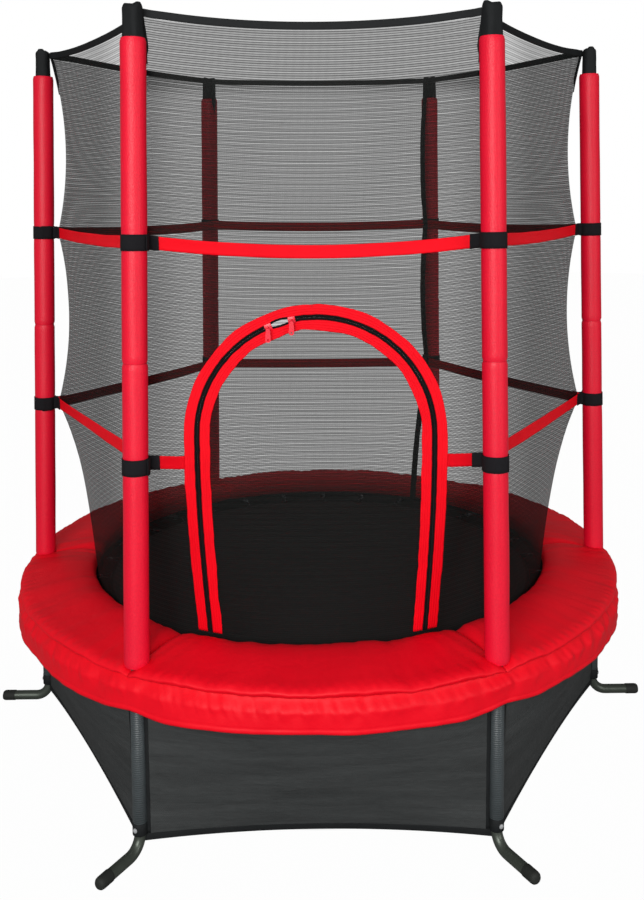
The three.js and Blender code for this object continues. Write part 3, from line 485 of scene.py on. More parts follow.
# ------------------------------------------------------------------- ring of the frame
# Six curved steel tubes, 25 mm across, make the ring. Each has a welded upright socket
# for a leg and a pole, and its end slides into the next one's sleeve with a screw.
TUBE_RADIUS = 0.0125

frame_steel = uneven("frame_steel", srgb(86, 92, 84), 0.38, (14, 260), (1.25, 0.6), bump=(0.0002, 0.5),
                     gloss=("Tone", 0.35, 0.22), Metallic=0.6)


def lathe(profile, place, steps=32):
    """A round form turned about Z from (radius, height) pairs, then put in its place."""
    form = bmesh.new()
    points = [form.verts.new((radius, 0, height)) for radius, height in profile]
    edges = [form.edges.new(pair) for pair in zip(points, points[1:])]
    bmesh.ops.spin(form, geom=points + edges, axis=(0, 0, 1), angle=2 * math.pi, steps=steps, use_merge=True)
    bmesh.ops.remove_doubles(form, verts=form.verts, dist=1e-6)
    bmesh.ops.transform(form, matrix=place, verts=form.verts)
    return form


def corner_turn(k):
    return Matrix.Rotation(k * math.pi / 3, 4, "Z")


def at_corner(k, place, tip=None):
    """Place beside pole k, tipped towards "X", out of the middle, or "Y", along the ring."""
    tips = {None: Matrix(), "X": Matrix.Rotation(math.pi / 2, 4, "Y"),
            "Y": Matrix.Rotation(-math.pi / 2, 4, "X")}
    return corner_turn(k) @ Matrix.Translation(place) @ tips[tip]


def hollow(inner, outer, bottom, top, round_off=0.0006):
    """Outline of a round tube's wall, with its rims eased."""
    r = round_off
    return [(inner, bottom + r), (inner + r, bottom), (outer - r, bottom), (outer, bottom + r),
            (outer, top - r), (outer - r, top), (inner + r, top), (inner, top - r), (inner, bottom + r)]


SECTION_ARC = 58.6                    # degrees
SLEEVE_ARC = 3.55
WELD = [(0, 0), (0.0148, 0), (0.0160, 0.0015), (0.0148, 0.003), (0, 0.003)]
SCREW_HEAD = [(0, 0.0035), (0.0022, 0.0033), (0.0045, 0.0015), (0.0048, 0), (0, 0)]


def ring_arc(start, arc, steps, radius):
    """A tube that follows the ring from an angle, in degrees."""
    return wire([polar(RING_RADIUS, math.radians(start + arc * step / steps), RING_HEIGHT)
                 for step in range(steps + 1)], radius, 24)


for k in range(6):
    parts = [
        ring_arc(k * 60, SECTION_ARC, 30, TUBE_RADIUS),
        ring_arc(k * 60 - SLEEVE_ARC, SLEEVE_ARC, 4, 0.0143),
        lathe(hollow(0.0118, 0.0155, 0.298, 0.372), at_corner(k, (RING_RADIUS, 0, 0))),
        lathe(WELD, at_corner(k, (RING_RADIUS, 0.0145, RING_HEIGHT), "Y"), 24),
        lathe(SCREW_HEAD, at_corner(k, (RING_RADIUS + 0.0153, 0, 0.310), "X"), 12),
    ]
    section = piece(gathered(parts), f"ring_tube_{k + 1}", frame_steel)
    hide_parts(f"ring_section_{k + 1}")

# ----------------------------------------------------------------------- legs and feet
# Each leg is a 22 mm steel tube that drops from the ring, bends outwards near the floor
# and ends in a rounded black rubber cap. The six feet point away from the middle.
FOOT_BEND = 0.032
CAP_AXIS = 0.01201

SLIM_TUBE = 0.0109                    # radius of legs and poles
CAP_OUTLINE = [(0.0111, 0.001), (0.0118, 0), (0.0119, 0.0008), (0.0119, 0.022), (0.0112, 0.0265),
               (0.0090, 0.0295), (0.0050, 0.0308), (0, 0.031), (0, 0.0245), (0.0111, 0.0245), (0.0111, 0.001)]

rubber = uneven("rubber", srgb(34, 36, 33), 0.7, (30, 500), (1.6, 0.6), bump=(0.0003, 0.6),
                Specular_IOR_Level=0.3)

bend = [step * math.pi / 24 for step in range(13)]
path = [Vector((RING_RADIUS, 0, z)) for z in (0.334, 0.25, 0.16, 0.08)]
path += [Vector((RING_RADIUS + FOOT_BEND * (1 - math.cos(tilt)), 0,
                 CAP_AXIS + FOOT_BEND * (1 - math.sin(tilt)))) for tilt in bend]
path += [Vector((x, 0, CAP_AXIS)) for x in (0.74, 0.76, 0.7815)]
for k in range(6):
    leg = piece(wire([corner_turn(k) @ point for point in path], SLIM_TUBE, 24), f"leg_tube_{k + 1}",
                frame_steel)
    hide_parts(f"leg_{k + 1}")
    cap = piece(lathe(CAP_OUTLINE, at_corner(k, (0.759, 0, CAP_AXIS), "X")), f"foot_rubber_{k + 1}", rubber)
    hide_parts(f"foot_cap_{k + 1}")

# ------------------------------------------------------------------------------- poles
# Each pole is a 22 mm steel tube in the socket. Two red foam tubes are pushed over it
# and meet at a butt seam. It leans in a little, and the net's pocket covers its top.
LEAN = 0.0212
LEAN_START = 0.376
FOAM_RADIUS = 0.0235
FOAM_HOLE = 0.0125
FOAM_EDGE = 0.0015                    # rounding of the foam's ends
FOAM_TOP = 1.530
LOWER_TIE = 0.747
UPPER_TIE = 1.160


def wavy(x, y, z=0.0):
    """Smooth noise of about -1 to 1 at a place."""
    return noise.noise(Vector((x, y, z)))


def pole_radius(z):
    return RING_RADIUS - LEAN * max(0, z - LEAN_START)


def on_pole(k, z):
    """Place on a pole's axis at a height, with Z along the leaning pole."""
    lean = Matrix.Rotation(-math.atan(LEAN), 4, "Y")
    return corner_turn(k) @ Matrix.Translation((pole_radius(z), 0, z)) @ lean


foam_red = srgb(225, 10, 45)
foam_skin, tree, shader = material("foam_skin", foam_red, 0.5, Specular_IOR_Level=0.36)
spots = spotted(tree, 9, 300)
cells = add(tree, "TexVoronoi", {"Vector": on_object(tree), "Scale": 420.0})
speckled = maths(tree, "MULTIPLY_ADD", spots["Tone"], 0.4, maths(tree, "MULTIPLY", spots["Grain"], 0.6))
tinted(tree, shader, foam_red, 1.2, speckled, 0.78)
half_grain = maths(tree, "MULTIPLY", spots["Grain"], 0.5)
skin = maths(tree, "MULTIPLY_ADD", cells.outputs["Distance"], 0.5, half_grain)
bumped(tree, shader, skin, 0.0008, 0.8)
glossed(tree, shader, spots["Grain"], 0.2, 0.34)


def foam_point(k, bottom, top, tie, u, v):
    """A foam tube with soft ends, a little pinched under the tie round it."""
    length = (top - bottom) / math.cos(math.atan(LEAN))
    angle = 2 * math.pi * u
    t = v * 1.1 - 0.05
    z = min(1, max(0, t)) * length
    past_end = max(0, -t, t - 1) / 0.05
    if past_end > 0:
        radius = FOAM_HOLE + (FOAM_RADIUS - FOAM_EDGE - FOAM_HOLE) * (1 - past_end)
    else:
        radius = FOAM_RADIUS - FOAM_EDGE * (1 - ease(0, 0.003, min(z, length - z)))
        radius += 0.0006 * wavy(k * 3.1 + math.cos(angle), top * 5 + math.sin(angle), z * 9)
        radius -= 0.0011 * math.exp(-((bottom + z - tie) / 0.016) ** 2)
    return on_pole(k, bottom) @ polar(radius, angle, z)


for k in range(6):
    tube = piece(wire([on_pole(k, z).translation for z in (0.337, 0.376, 0.7, 1.1, 1.575)], SLIM_TUBE, 24),
                 f"pole_tube_{k + 1}", frame_steel)
    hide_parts(f"pole_{k + 1}")
    for half, bottom, top, tie in (("lower", 0.3715, 0.938, LOWER_TIE),
                                   ("upper", 0.9384, FOAM_TOP, UPPER_TIE)):
        made = piece(grown(36, 90, partial(foam_point, k, bottom, top, tie)), f"foam_tube_{half}_{k + 1}",
                     foam_skin, crease=60)
        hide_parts(f"foam_{half}_{k + 1}")

# ----------------------------------------------------------------------------- spring pad
# Six padded sections of red vinyl are sewn end to end at the poles. They lie over the
# springs, and a loose edge of the same vinyl hangs down round the ring.
PAD_INNER = 0.540
PAD_OUTER = 0.694
PAD_MIDDLE = 0.62
PAD_BOTTOM = 0.34875
PAD_LEVEL = 0.367
PAD_GAP = 0.0008                      # angle between a section's end and the seam
SIXTH = math.pi / 3

# Soft vinyl with a fine leathery emboss and small puckers
vinyl_red = srgb(232, 1, 27)
pad_vinyl, tree, shader = material("pad_vinyl", vinyl_red, 0.45, Specular_IOR_Level=0.2)
spots = spotted(tree, 7, 110)
tinted(tree, shader, vinyl_red, 1.06, spots["Tone"], 0.86)
cells = add(tree, "TexVoronoi", {"Vector": on_object(tree), "Scale": 900.0})
folds = add(tree, "TexNoise", {"Vector": on_object(tree), "Scale": 26.0, "Detail": 3.0, "Distortion": 0.6})
puckers = bumped(tree, shader, folds.outputs[0], 0.004, 0.3)
bumped(tree, shader, cells.outputs["Distance"], 0.0003, 0.5, puckers)
glossed(tree, shader, spots["Tone"], 0.3, 0.36)

PAD_PROFILE = [(PAD_INNER + 0.030, PAD_BOTTOM), (PAD_INNER + 0.006, PAD_BOTTOM + 0.004),
               (PAD_INNER - 0.003, 0.3640), (PAD_INNER - 0.002, 0.3760), (PAD_INNER + 0.006, 0.3850),
               (PAD_INNER + 0.030, 0.3905), (PAD_INNER + 0.060, 0.3895), (PAD_INNER + 0.090, 0.3850),
               (PAD_OUTER - 0.030, 0.3795), (PAD_OUTER - 0.010, 0.3770), (PAD_OUTER + 0.003, 0.3735),
               (PAD_OUTER + 0.010, 0.3670), (PAD_OUTER + 0.005, 0.3605), (PAD_OUTER - 0.007, 0.3560),
               (PAD_OUTER - 0.020, PAD_BOTTOM + 0.001), (PAD_OUTER - 0.060, PAD_BOTTOM)]


def smooth_loop(points, t):
    """A point on a closed rounded line through the given points, t from 0 to 1."""
    at = min(len(points) - 1e-9, t * len(points))
    k = int(at)
    a, b, c, d = (Vector(points[j % len(points)]) for j in (k - 1, k, k + 1, k + 2))
    f = at - k
    square, cube = 2 * a - 5 * b + 4 * c - d, 3 * b - a - 3 * c + d
    return 0.5 * ((2 * b) + (c - a) * f + square * f ** 2 + cube * f ** 3)


def ripple(angle, radius, z, scale, seed=0.0):
    return wavy(math.cos(angle) * radius * scale, math.sin(angle) * radius * scale, z * scale + seed)


def bell(distance, width):
    return math.exp(-(distance / width) ** 2)


def pad_point(k, u, v):
    """u runs round the section's outline and v from seam to seam. The top swells between
    the seams, and ripples, rim folds, stitch puckers and a fan at each seam are laid on it."""
    r, z = smooth_loop(PAD_PROFILE, u)
    turn = PAD_GAP + v * (SIXTH - 2 * PAD_GAP)
    angle = k * SIXTH + turn
    seam = min(turn, SIXTH - turn) * PAD_MIDDLE
    pull = math.exp(-seam / 0.010)
    upper = ease(0.352, 0.366, z)
    z = PAD_LEVEL + (z - PAD_LEVEL) * (1 - 0.42 * pull)
    swell = 0.0045 * math.sin(math.pi * v) - 0.004 * pull + 0.0035 * ripple(angle, r, 0, 9.0, k * 7.0)
    swell += 0.0030 * ripple(angle, PAD_MIDDLE, 0, 15.0, k * 5.0) * (1 - 0.6 * pull)
    fold = ripple(angle, PAD_MIDDLE, 0, 30.0, 3.0) + 0.5 * ripple(angle, PAD_MIDDLE, 0, 70.0, 9.0)
    swell += 0.0016 * fold * (0.3 + ease(PAD_MIDDLE, 0.69, r) + (1 - ease(0.545, 0.58, r)))
    swell += 0.0009 * math.sin(angle * 0.69 / 0.0034 + 3 * fold) * bell(r - PAD_OUTER, 0.007)
    swell += 0.0012 * math.exp(-seam / 0.05) * math.sin(seam * 190 + r * 60)
    z += upper * swell
    return polar(r + 0.0012 * ripple(angle, r, z, 22.0, 40.0) * upper, angle, z)


for k in range(6):
    pad = piece(filled(grown(64, 170, partial(pad_point, k), (0.36, 0.65))), f"pad_section_{k + 1}",
                pad_vinyl, crease=80)
    if k == 0:
        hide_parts("spring_pad")


def drop_point(u, v):
    """The hanging edge: u round the ring, v from the groove under the pad's lip down to
    the hem. It is gathered in the groove, and folds run down from there at a slant."""
    angle = 2 * math.pi * u
    from_seam = min(angle % SIXTH, SIXTH - angle % SIXTH) * 0.7
    wave = 0.005 * math.sin(5 * angle) * math.cos(2 * angle + 0.7)
    bottom = 0.295 + wave + 0.003 * ripple(angle, 0.7, 0, 9.0, 5.0) + 0.007 * bell(from_seam, 0.05)
    top = 0.3605 + 0.0008 * ripple(angle, 0.7, 0, 40.0, 2.0)
    radius = 0.6925 + 0.0145 * ease(0, 0.40, v) - 0.002 * math.exp(-from_seam / 0.03) * v
    lean = angle + 0.05 * v
    gather = ripple(lean, 0.7, v * 0.02, 36.0, 11.0) + 0.6 * ripple(angle - 0.04 * v, 0.7, 0, 80.0, 31.0)
    radius += 0.0056 * gather * bell(v - 0.30, 0.24)
    slack = 0.0042 * ripple(angle, 0.7, 0, 11.0, 20.0) + 0.0020 * ripple(lean, 0.7, v * 0.03, 30.0, 8.0)
    radius += v * slack
    radius += 0.0011 * bell(v - 0.93, 0.035) - 0.0009 * bell(v - 0.86, 0.02)
    return polar(radius, angle, top + (bottom - top) * v)


drop = piece(grown(1080, 26, drop_point, (4.4, 0.075)), "pad_hanging_edge", pad_vinyl,
             outward=sideways)
thick(drop, 0.0012)

# --------------------------------------------------------------------------- safety net
# Six panels of fine black knitted net. Each starts on a circle at the mat's edge, and is
# pulled out to the poles by ties at two heights and by the pockets over the pole tops.
HALF = math.pi / 6
NET_BOTTOM = 0.352
DOOR_BOTTOM = 0.392
DOOR_PLANE = 0.546
DOOR_PANEL = 4                        # the panel that faces the camera
NET_TOP = 1.572
HEM_TOP = 1.587
TIE_REACH = 0.0336
CORNER_KNOTS = [(NET_BOTTOM, 0.530), (DOOR_BOTTOM, 0.535), (LOWER_TIE, pole_radius(LOWER_TIE) - TIE_REACH),
                (UPPER_TIE, pole_radius(UPPER_TIE) - TIE_REACH), (HEM_TOP, 0.63465)]
CORNER_CURVE = [0, 0.012, 0.026, 0.028]
MIDDLE_KNOTS = [(NET_BOTTOM, 0.530), (DOOR_BOTTOM, 0.535), (LOWER_TIE, DOOR_PLANE), (1.050, DOOR_PLANE),
                (UPPER_TIE, 0.538), (HEM_TOP, 0.528)]
SAG_KNOTS = [(DOOR_BOTTOM, 0), (LOWER_TIE, 0.007), (UPPER_TIE, 0.020), (HEM_TOP, 0.023)]
SIDE_SAG = 0.35
FULLNESS_KNOTS = [(LOWER_TIE, 12), (1.050, 12), (UPPER_TIE, 4)]


def between(knots, z, curves=()):
    """Value at a height on the lines between knots, less a curve inside each span."""
    at = max(0, min(len(knots) - 2, sum(1 for height, _ in knots if height <= z) - 1))
    (z0, low), (z1, high) = knots[at], knots[at + 1]
    t = min(1, max(0, (z - z0) / (z1 - z0)))
    return low + (high - low) * t - 4 * t * (1 - t) * (curves[at] if at < len(curves) else 0)


def half_width(level):
    return between(CORNER_KNOTS, level, CORNER_CURVE) * math.sin(HALF)


def net_place(side, level, door=False):
    """Sideways place, distance from the middle and height of a point of a panel."""
    corner = between(CORNER_KNOTS, level, CORNER_CURVE)
    fullness = between(FULLNESS_KNOTS, level) if door else 4
    rise = min(1, max(0, (level - DOOR_BOTTOM) / (LOWER_TIE - DOOR_BOTTOM)))
    weight = side ** 2 * (1 - rise) + abs(side) ** fullness * rise
    middle = between(MIDDLE_KNOTS, level)
    out = middle + (corner * math.cos(HALF) - middle) * weight
    sag = between(SAG_KNOTS, level) * (1 if door else SIDE_SAG)
    return side * corner * math.sin(HALF), out, level - sag * (1 - side * side)


def creases(side, level, seed):
    """Folds that fan out from each tie, and the slack of the cloth between them."""
    away = (1 - abs(side)) * half_width(level)
    total = 0
    for tie, depth in ((LOWER_TIE, 0.0035), (UPPER_TIE, 0.003), (HEM_TOP, 0.004)):
        reach = math.hypot(away, level - tie)
        fan = math.atan2(level - tie, away + 0.004)
        total += depth * math.exp(-reach / 0.10) * math.sin(11 * fan + seed + tie * 9) * min(1, away / 0.03)
    calm = min(1, away / 0.05) * min(1, (level - NET_BOTTOM) / 0.05, (HEM_TOP - level) / 0.05)
    return total + 0.0035 * calm * wavy(side * 2.2 + seed, level * 3.0, seed)


def panel_turn(k):
    """Turn from the front panel to the one that starts at pole k + 1."""
    return Matrix.Rotation(k * SIXTH + HALF - 1.5 * math.pi, 4, "Z")


def net_point(side, level, offset, k):
    """Point of panel k before its turn, at an offset in front of the net."""
    x, out, z = net_place(side, level, k == DOOR_PANEL)
    out += offset
    if k != DOOR_PANEL or abs(x) >= 0.26 or level >= 1.06:
        out += creases(side, level, k * 1.7)
    return Vector((x + side * offset * math.tan(HALF), -out, z))


# Rows of thread 4.3 mm apart with finer loops between them, and every 11 mm a row that
# is looser. The sides and the top of the front panel are knitted closer, and in the front
# half the rows are fainter, because two layers of net are seen one behind the other there.
HOLE_MEAN = 0.529
net_black = srgb(23, 24, 23)
net_cloth, tree, shader = material("net_cloth", net_black, 0.7, Specular_IOR_Level=0.1)
spread = add(tree, "SeparateXYZ", {0: on_cloth(tree)}).outputs
here = add(tree, "SeparateXYZ", {0: on_object(tree)}).outputs


def ramp(value, low, high, start=0.0, stop=1.0):
    return add(tree, "MapRange", {0: value, 1: low, 2: high, 3: start, 4: stop},
               interpolation_type="SMOOTHSTEP").outputs[0]


rows = wave_of(tree, spread[1], 0.0043)
loops = wave_of(tree, spread[0], 0.0021, maths(tree, "MULTIPLY", rows, 1.5))
loose = maths(tree, "POWER", wave_of(tree, spread[1], 0.0112), 3.0)
cloudy = use(tree, mottle, Place=on_cloth(tree), Cloud=4.0, Fine=60.0).outputs["Tone"]
hole = maths(tree, "MULTIPLY", ramp(rows, -0.05, 0.62, 0.18), ramp(loops, 0.15, 0.7, 0.42))
gain = maths(tree, "MULTIPLY_ADD", loose, 0.30, maths(tree, "MULTIPLY_ADD", cloudy, -0.16, 0.925))
beside = ramp(maths(tree, "ABSOLUTE", here[0]), 0.36, 0.47, 1.0, 0.70)
front_top = maths(tree, "MULTIPLY", ramp(here[2], 1.425, 1.455), ramp(here[1], -0.40, -0.48))
closer = maths(tree, "MULTIPLY", beside, maths(tree, "MULTIPLY_ADD", front_top, -0.45, 1.0))
below = maths(tree, "SUBTRACT", 1.0, front_top)
fainter = maths(tree, "MULTIPLY", ramp(here[1], 0.05, -0.15, 0.0, 0.55), below)
hole = maths(tree, "MULTIPLY_ADD", fainter, maths(tree, "SUBTRACT", HOLE_MEAN, hole), hole)
through = maths(tree, "MULTIPLY", maths(tree, "MULTIPLY", hole, gain), closer)
tree.links.new(maths(tree, "SUBTRACT", 1.0, through), shader.inputs["Alpha"])
tinted(tree, shader, net_black, 1.6, rows, 0.8)
bumped(tree, shader, hole, 0.0004, 0.6)

ARCH_RADIUS = 0.2235
ARCH_CENTRE = 0.7945
DOOR_FOOT = 0.2105
FLAP_GAP = 0.0005


def arch_leg(z):
    """Half width of the zip below the arch's centre."""
    t = min(1, max(0, (z - DOOR_BOTTOM) / (ARCH_CENTRE - DOOR_BOTTOM)))
    return DOOR_FOOT + (ARCH_RADIUS - DOOR_FOOT) * math.sin(t * math.pi / 2)


def past_zip(x, z):
    """Distance outside the zip's centreline in the door's plane, negative inside it."""
    if z < ARCH_CENTRE:
        return abs(x) - arch_leg(z)
    return math.hypot(x, z - ARCH_CENTRE) - ARCH_RADIUS


def on_round(angle, offset):
    """Place on the arch's round part, moved out by an offset."""
    return (ARCH_RADIUS + offset) * math.cos(angle), ARCH_CENTRE + (ARCH_RADIUS + offset) * math.sin(angle)


def onto_zip(x, z, offset):
    """The nearest place at an offset from the zip's centreline."""
    if z < ARCH_CENTRE:
        return math.copysign(arch_leg(z) + offset, x), z
    return on_round(math.atan2(z - ARCH_CENTRE, x), offset)


def front_depth(x, z):
    """Distance of the front panel's surface from the middle at a place."""
    level = z
    for _ in range(6):
        side = max(-1, min(1, x / half_width(level)))
        level = z + between(SAG_KNOTS, level) * (1 - side * side)
    return net_place(x / half_width(level), level, True)[1]


def cut_away(form, unwanted):
    """Takes off the faces whose middle the test picks."""
    faces = [face for face in form.faces if unwanted(face.calc_center_median())]
    bmesh.ops.delete(form, geom=faces, context="FACES")


ZIP_HALF = 0.007                      # from the zip's centreline to the cloth's edge


def cut_along_zip(form, outside):
    """Keeps the cloth on one side of the zip and trims its edge to the tape."""
    offset = ZIP_HALF if outside else -ZIP_HALF
    low = DOOR_BOTTOM if outside else DOOR_BOTTOM + FLAP_GAP
    cut_away(form, lambda at: (past_zip(at.x, at.z) < offset and at.z > low) == outside)
    for point in {v for e in form.edges if e.is_boundary for v in e.verts}:
        x, z = point.co.x, point.co.z
        if abs(past_zip(x, z) - offset) < 0.012 and z > DOOR_BOTTOM + 0.004:
            x, z = onto_zip(x, z, offset)
            point.co = Vector((x, -front_depth(x, z), z))


def panel_point(k, u, v):
    return net_point(2 * u - 1, NET_BOTTOM + v * (NET_TOP - NET_BOTTOM), 0, k)


def panel_cloth(u, v):
    level = NET_BOTTOM + v * (NET_TOP - NET_BOTTOM)
    return (2 * u - 1) * half_width(level), level


for k in range(6):
    door = k == DOOR_PANEL
    form = grown(*((84, 150) if door else (56, 100)), partial(panel_point, k), panel_cloth)
    if door:
        cut_along_zip(form, True)
    bmesh.ops.transform(form, matrix=panel_turn(k), verts=form.verts)
    name = "net_front" if door else f"net_side_{k + 1}"
    net = piece(form, name, net_cloth, body=None, outward=sideways)
    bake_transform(net)
    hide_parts("net_door_panel" if door else f"net_panel_{k + 1}")

# ------------------------------------------------------------------- net's hem and pockets
# A black binding closes the net's upper edge and hangs in a bow from pole to pole. At
# each pole it is sewn to a pocket of the same cloth, pulled over the end of the pole.
HEM_HALF = 0.0075
POCKET_BOTTOM = 1.5305
POCKET_HIGH = 0.0590
POCKET_TOP = 1.5935

binding = uneven("binding", srgb(22, 24, 25), 0.72, (20, 300), (1.6, 0.7), threads=(700, 700),
                 bump=(0.0005, 0.8), soft=(0.002, 0.4), Specular_IOR_Level=0.25)


def ring_of_panels(build):
    """Points all round the net: build(side, v, k) on each panel, turned to its place."""
    def place(u, v):
        k = min(5, int(u * 6))
        return panel_turn(k) @ build(2 * (u * 6 - k) - 1, v, k)
    return place


def squared(x, power):
    """A cosine or sine made flatter, for the section of a folded band."""
    return math.copysign(abs(x) ** power, x)


def hem_build(side, v, k):
    angle = 2 * math.pi * v
    across = squared(math.cos(angle), 0.5) * 0.0018 * (1 + 0.25 * wavy(side * 8, k))
    at = net_point(side, HEM_TOP - HEM_HALF, across, k)
    at.z += squared(math.sin(angle), 0.5) * HEM_HALF
    return at


hem = piece(grown(360, 16, ring_of_panels(hem_build), (3.9, 0.035)), "net_hem", binding, crease=70)


def pocket_point(k, u, v):
    """A soft box over the pole's top, open below, with ears where its seams are."""
    angle = 2 * math.pi * u
    t = min(1, v / 0.9)
    square = 0.55 + 0.2 * t
    wide = 0.0188 * (1 - 0.05 * math.sin(math.pi * t)) + 0.0012 * wavy(angle, t * 3, k * 5)
    deep = 0.0150 + 0.0006 * wavy(math.cos(angle) * 2, t * 4, k * 3)
    closing = 1 - ease(0.9, 1.0, v)
    narrowed = closing * (1 - 0.16 * ease(0.90, 1.0, t))
    x = squared(math.cos(angle), square) * deep * narrowed * (1 + 0.018 * math.sin(9 * angle + k) * (1 - t))
    y = squared(math.sin(angle), square) * wide * narrowed
    ear = max(0, abs(math.sin(angle)) - 0.8) * 5
    z = POCKET_BOTTOM + POCKET_HIGH * t + 0.0055 * ear * ease(0.75, 1, t) * (0.4 + 0.6 * closing)
    return corner_turn(k) @ Vector((pole_radius(POCKET_BOTTOM) + x, y, min(z, POCKET_TOP)))


pockets = [grown(48, 26, partial(pocket_point, k), (0.12, 0.07)) for k in range(6)]
piece(gathered(pockets), "pole_pockets", binding, crease=60)
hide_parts("net_top_hem")


def gusset_point(k, way, u, v):
    """Black cloth over the net's corner edge, wide at the pocket and narrow further down."""
    level = 1.488 + 0.084 * v
    width = 0.0020 + 0.0055 * ease(0.1, 0.4, v)
    return panel_turn(k) @ net_point(way * (1 - u * width / half_width(level)), level, 0.0012, k)


def seam_point(u, v):
    """The net is one long cloth. Its ends are joined by a bound seam at the back right pole."""
    k, way = (0, 1) if u < 0.5 else (1, -1)
    level = NET_BOTTOM + 0.002 + (1.533 - NET_BOTTOM) * v
    width = 0.0075 * abs(2 * u - 1) * (1 + 0.15 * wavy(0, v * 30, k * 4.0))
    return panel_turn(k) @ net_point(way * (1 - width / half_width(level)), level, 0.0014, k)


seam = piece(grown(4, 160, seam_point, (0.015, 1.18)), "net_seam", binding, body=None,
             outward=sideways)
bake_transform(seam)
thick(seam, 0.0012, 1.0)

corners = [grown(4, 24, partial(gusset_point, k, way), (0.02, 0.1)) for k in range(6) for way in (-1, 1)]
gussets = piece(gathered(corners), "net_gussets", binding, outward=sideways)
thick(gussets, 0.0008, 1.0)

# -------------------------------------------------------------------- straps and their ties
# Red ribbed webbing, 25 mm wide, runs round the net at two heights. At each pole a black
# hook-and-loop tie is sewn to it and wraps the foam, with the end of the tie on top.
STRAP_RED = srgb(246, 1, 26)
STRAP_WIDTH = 0.025
STRAP_THICK = 0.0014
STRAP_ROUND = 3.7                     # the strap's length round the net
STRAP_PROUD = 0.00305
TUCKED_PROUD = 0.0013                 # where the lower strap's end lies under the arch's tape
TAPE_COVER = 0.018                    # from the arch's centreline to the strap's end
SLEEVE_LENGTH = 0.026

webbing = uneven("webbing", STRAP_RED, 0.6, (16, 400), (1.1, 0.8), threads=(420, 1100), bump=(0.0007, 0.9),
                 Specular_IOR_Level=0.15)
tie_cloth = uneven("tie_cloth", srgb(21, 20, 23), 0.9, (60, 900), (1.8, 0.6), bump=(0.0012, 0.9), by="Grain",
                   Specular_IOR_Level=0.2)


def strap_build(level, door_gap, lift, side, v, k):
    """Point of a strap; door_gap is the share of the front panel that the strap leaves out."""
    door = k == DOOR_PANEL
    tuck = 0
    if door_gap and door:
        side = math.copysign(1 - (1 - abs(side)) * 0.985 * (1 - door_gap), side)
        tuck = ease(0.033, 0.028, abs(side) * half_width(level) - arch_leg(level))
    rise = (v - 0.5) * STRAP_WIDTH
    x, out, z = net_place(side, level, door)
    levels = (level - STRAP_WIDTH / 2, level, level + STRAP_WIDTH / 2)
    proud = max(net_place(side, height, door)[1] for height in levels) - out
    away = (1 - abs(side)) * half_width(level)
    tilt = 0.10 * math.sin(side * 2.5 + k) * min(1, away / 0.08)
    offset = proud + STRAP_PROUD + abs(rise * tilt) + rise * tilt + lift
    offset += (TUCKED_PROUD - offset) * tuck
    z += rise + 0.0012 * wavy(side * 3, k * 2.0, level) * min(1, away / 0.05)
    return Vector((x + side * offset * math.tan(HALF), -(out + offset), z))


def tie_point(k, level, u, v):
    """The tie's wrap round the foam, from u = 0 to its end, which laps over its start."""
    angle = math.radians(148 - 415 * u)
    over = ease(0.84, 0.89, u)
    radius = FOAM_RADIUS + 0.0005 + 0.0016 * over + 0.0012 * ease(0.96, 1.0, u)
    radius += 0.0003 * math.sin(7 * angle + k)
    rise = (v - 0.5) * 0.030 + 0.0004 * (k % 3) + 0.0012 * over * math.sin(k + level * 10)
    return on_pole(k, level) @ polar(radius, angle, rise)


def link_point(k, level, way, u, v):
    """The tie's two ends, from the foam to the strap."""
    return corner_turn(k) @ Vector((pole_radius(level) - FOAM_RADIUS + 0.0006 - 0.0082 * v,
                                    way * (0.0085 - 0.0035 * v), level + (u - 0.5) * 0.0285))


def sleeve_point(k, level, way, u, v):
    """The black sleeve over the strap's end."""
    panel = k if way < 0 else (k - 1) % 6
    side = way * (1 - SLEEVE_LENGTH * u / half_width(level))
    return panel_turn(panel) @ strap_build(level, 0, 0.0012, side, 0.5 + (v - 0.5) * 1.1, panel)


door_share = (arch_leg(LOWER_TIE) + TAPE_COVER) / half_width(LOWER_TIE)
for level, name, gap in ((UPPER_TIE, "upper", 0), (LOWER_TIE, "lower", door_share)):
    form = grown(480, 6, ring_of_panels(partial(strap_build, level, gap, 0)),
                 lambda u, v: (v * STRAP_WIDTH, u * STRAP_ROUND))
    if gap:
        clear = arch_leg(level) + TAPE_COVER - 0.0005
        cut_away(form, lambda at: at.y < -0.53 and abs(at.x) < clear)
    strap = piece(form, f"strap_{name}", webbing, outward=sideways)
    thick(strap, STRAP_THICK, 0.0)
    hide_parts(f"{name}_strap")

for level, name in ((UPPER_TIE, "upper"), (LOWER_TIE, "lower")):
    wraps = []
    for k in range(6):
        wraps.append(grown(64, 4, partial(tie_point, k, level), (0.17, 0.03)))
        for way in (-1, 1):
            wraps.append(grown(6, 4, partial(link_point, k, level, way), (0.03, 0.01)))
            wraps.append(grown(8, 4, partial(sleeve_point, k, level, way), (SLEEVE_LENGTH, 0.028)))
    thick(piece(gathered(wraps), f"ties_{name}", tie_cloth, crease=60), 0.0013, 1.0)

# ------------------------------------------------------------------------------- zip door
# The door is an arch in the front panel. Red ribbed tapes are sewn along both sides of a
# black coil zip. Outer tape and coil belong to the panel, inner ones to the flap.
TAPE_FACE = 0.0008 + 0.0013
LEG_LENGTH = ARCH_CENTRE - DOOR_BOTTOM
ARCH_LENGTH = 2 * LEG_LENGTH + math.pi * ARCH_RADIUS
SLIDER_TILT = {"left": -23.0, "right": -11.3}     # degrees from the top of the arch
ZIP_OPENING = 0.0042                  # how far each edge stands out between the sliders


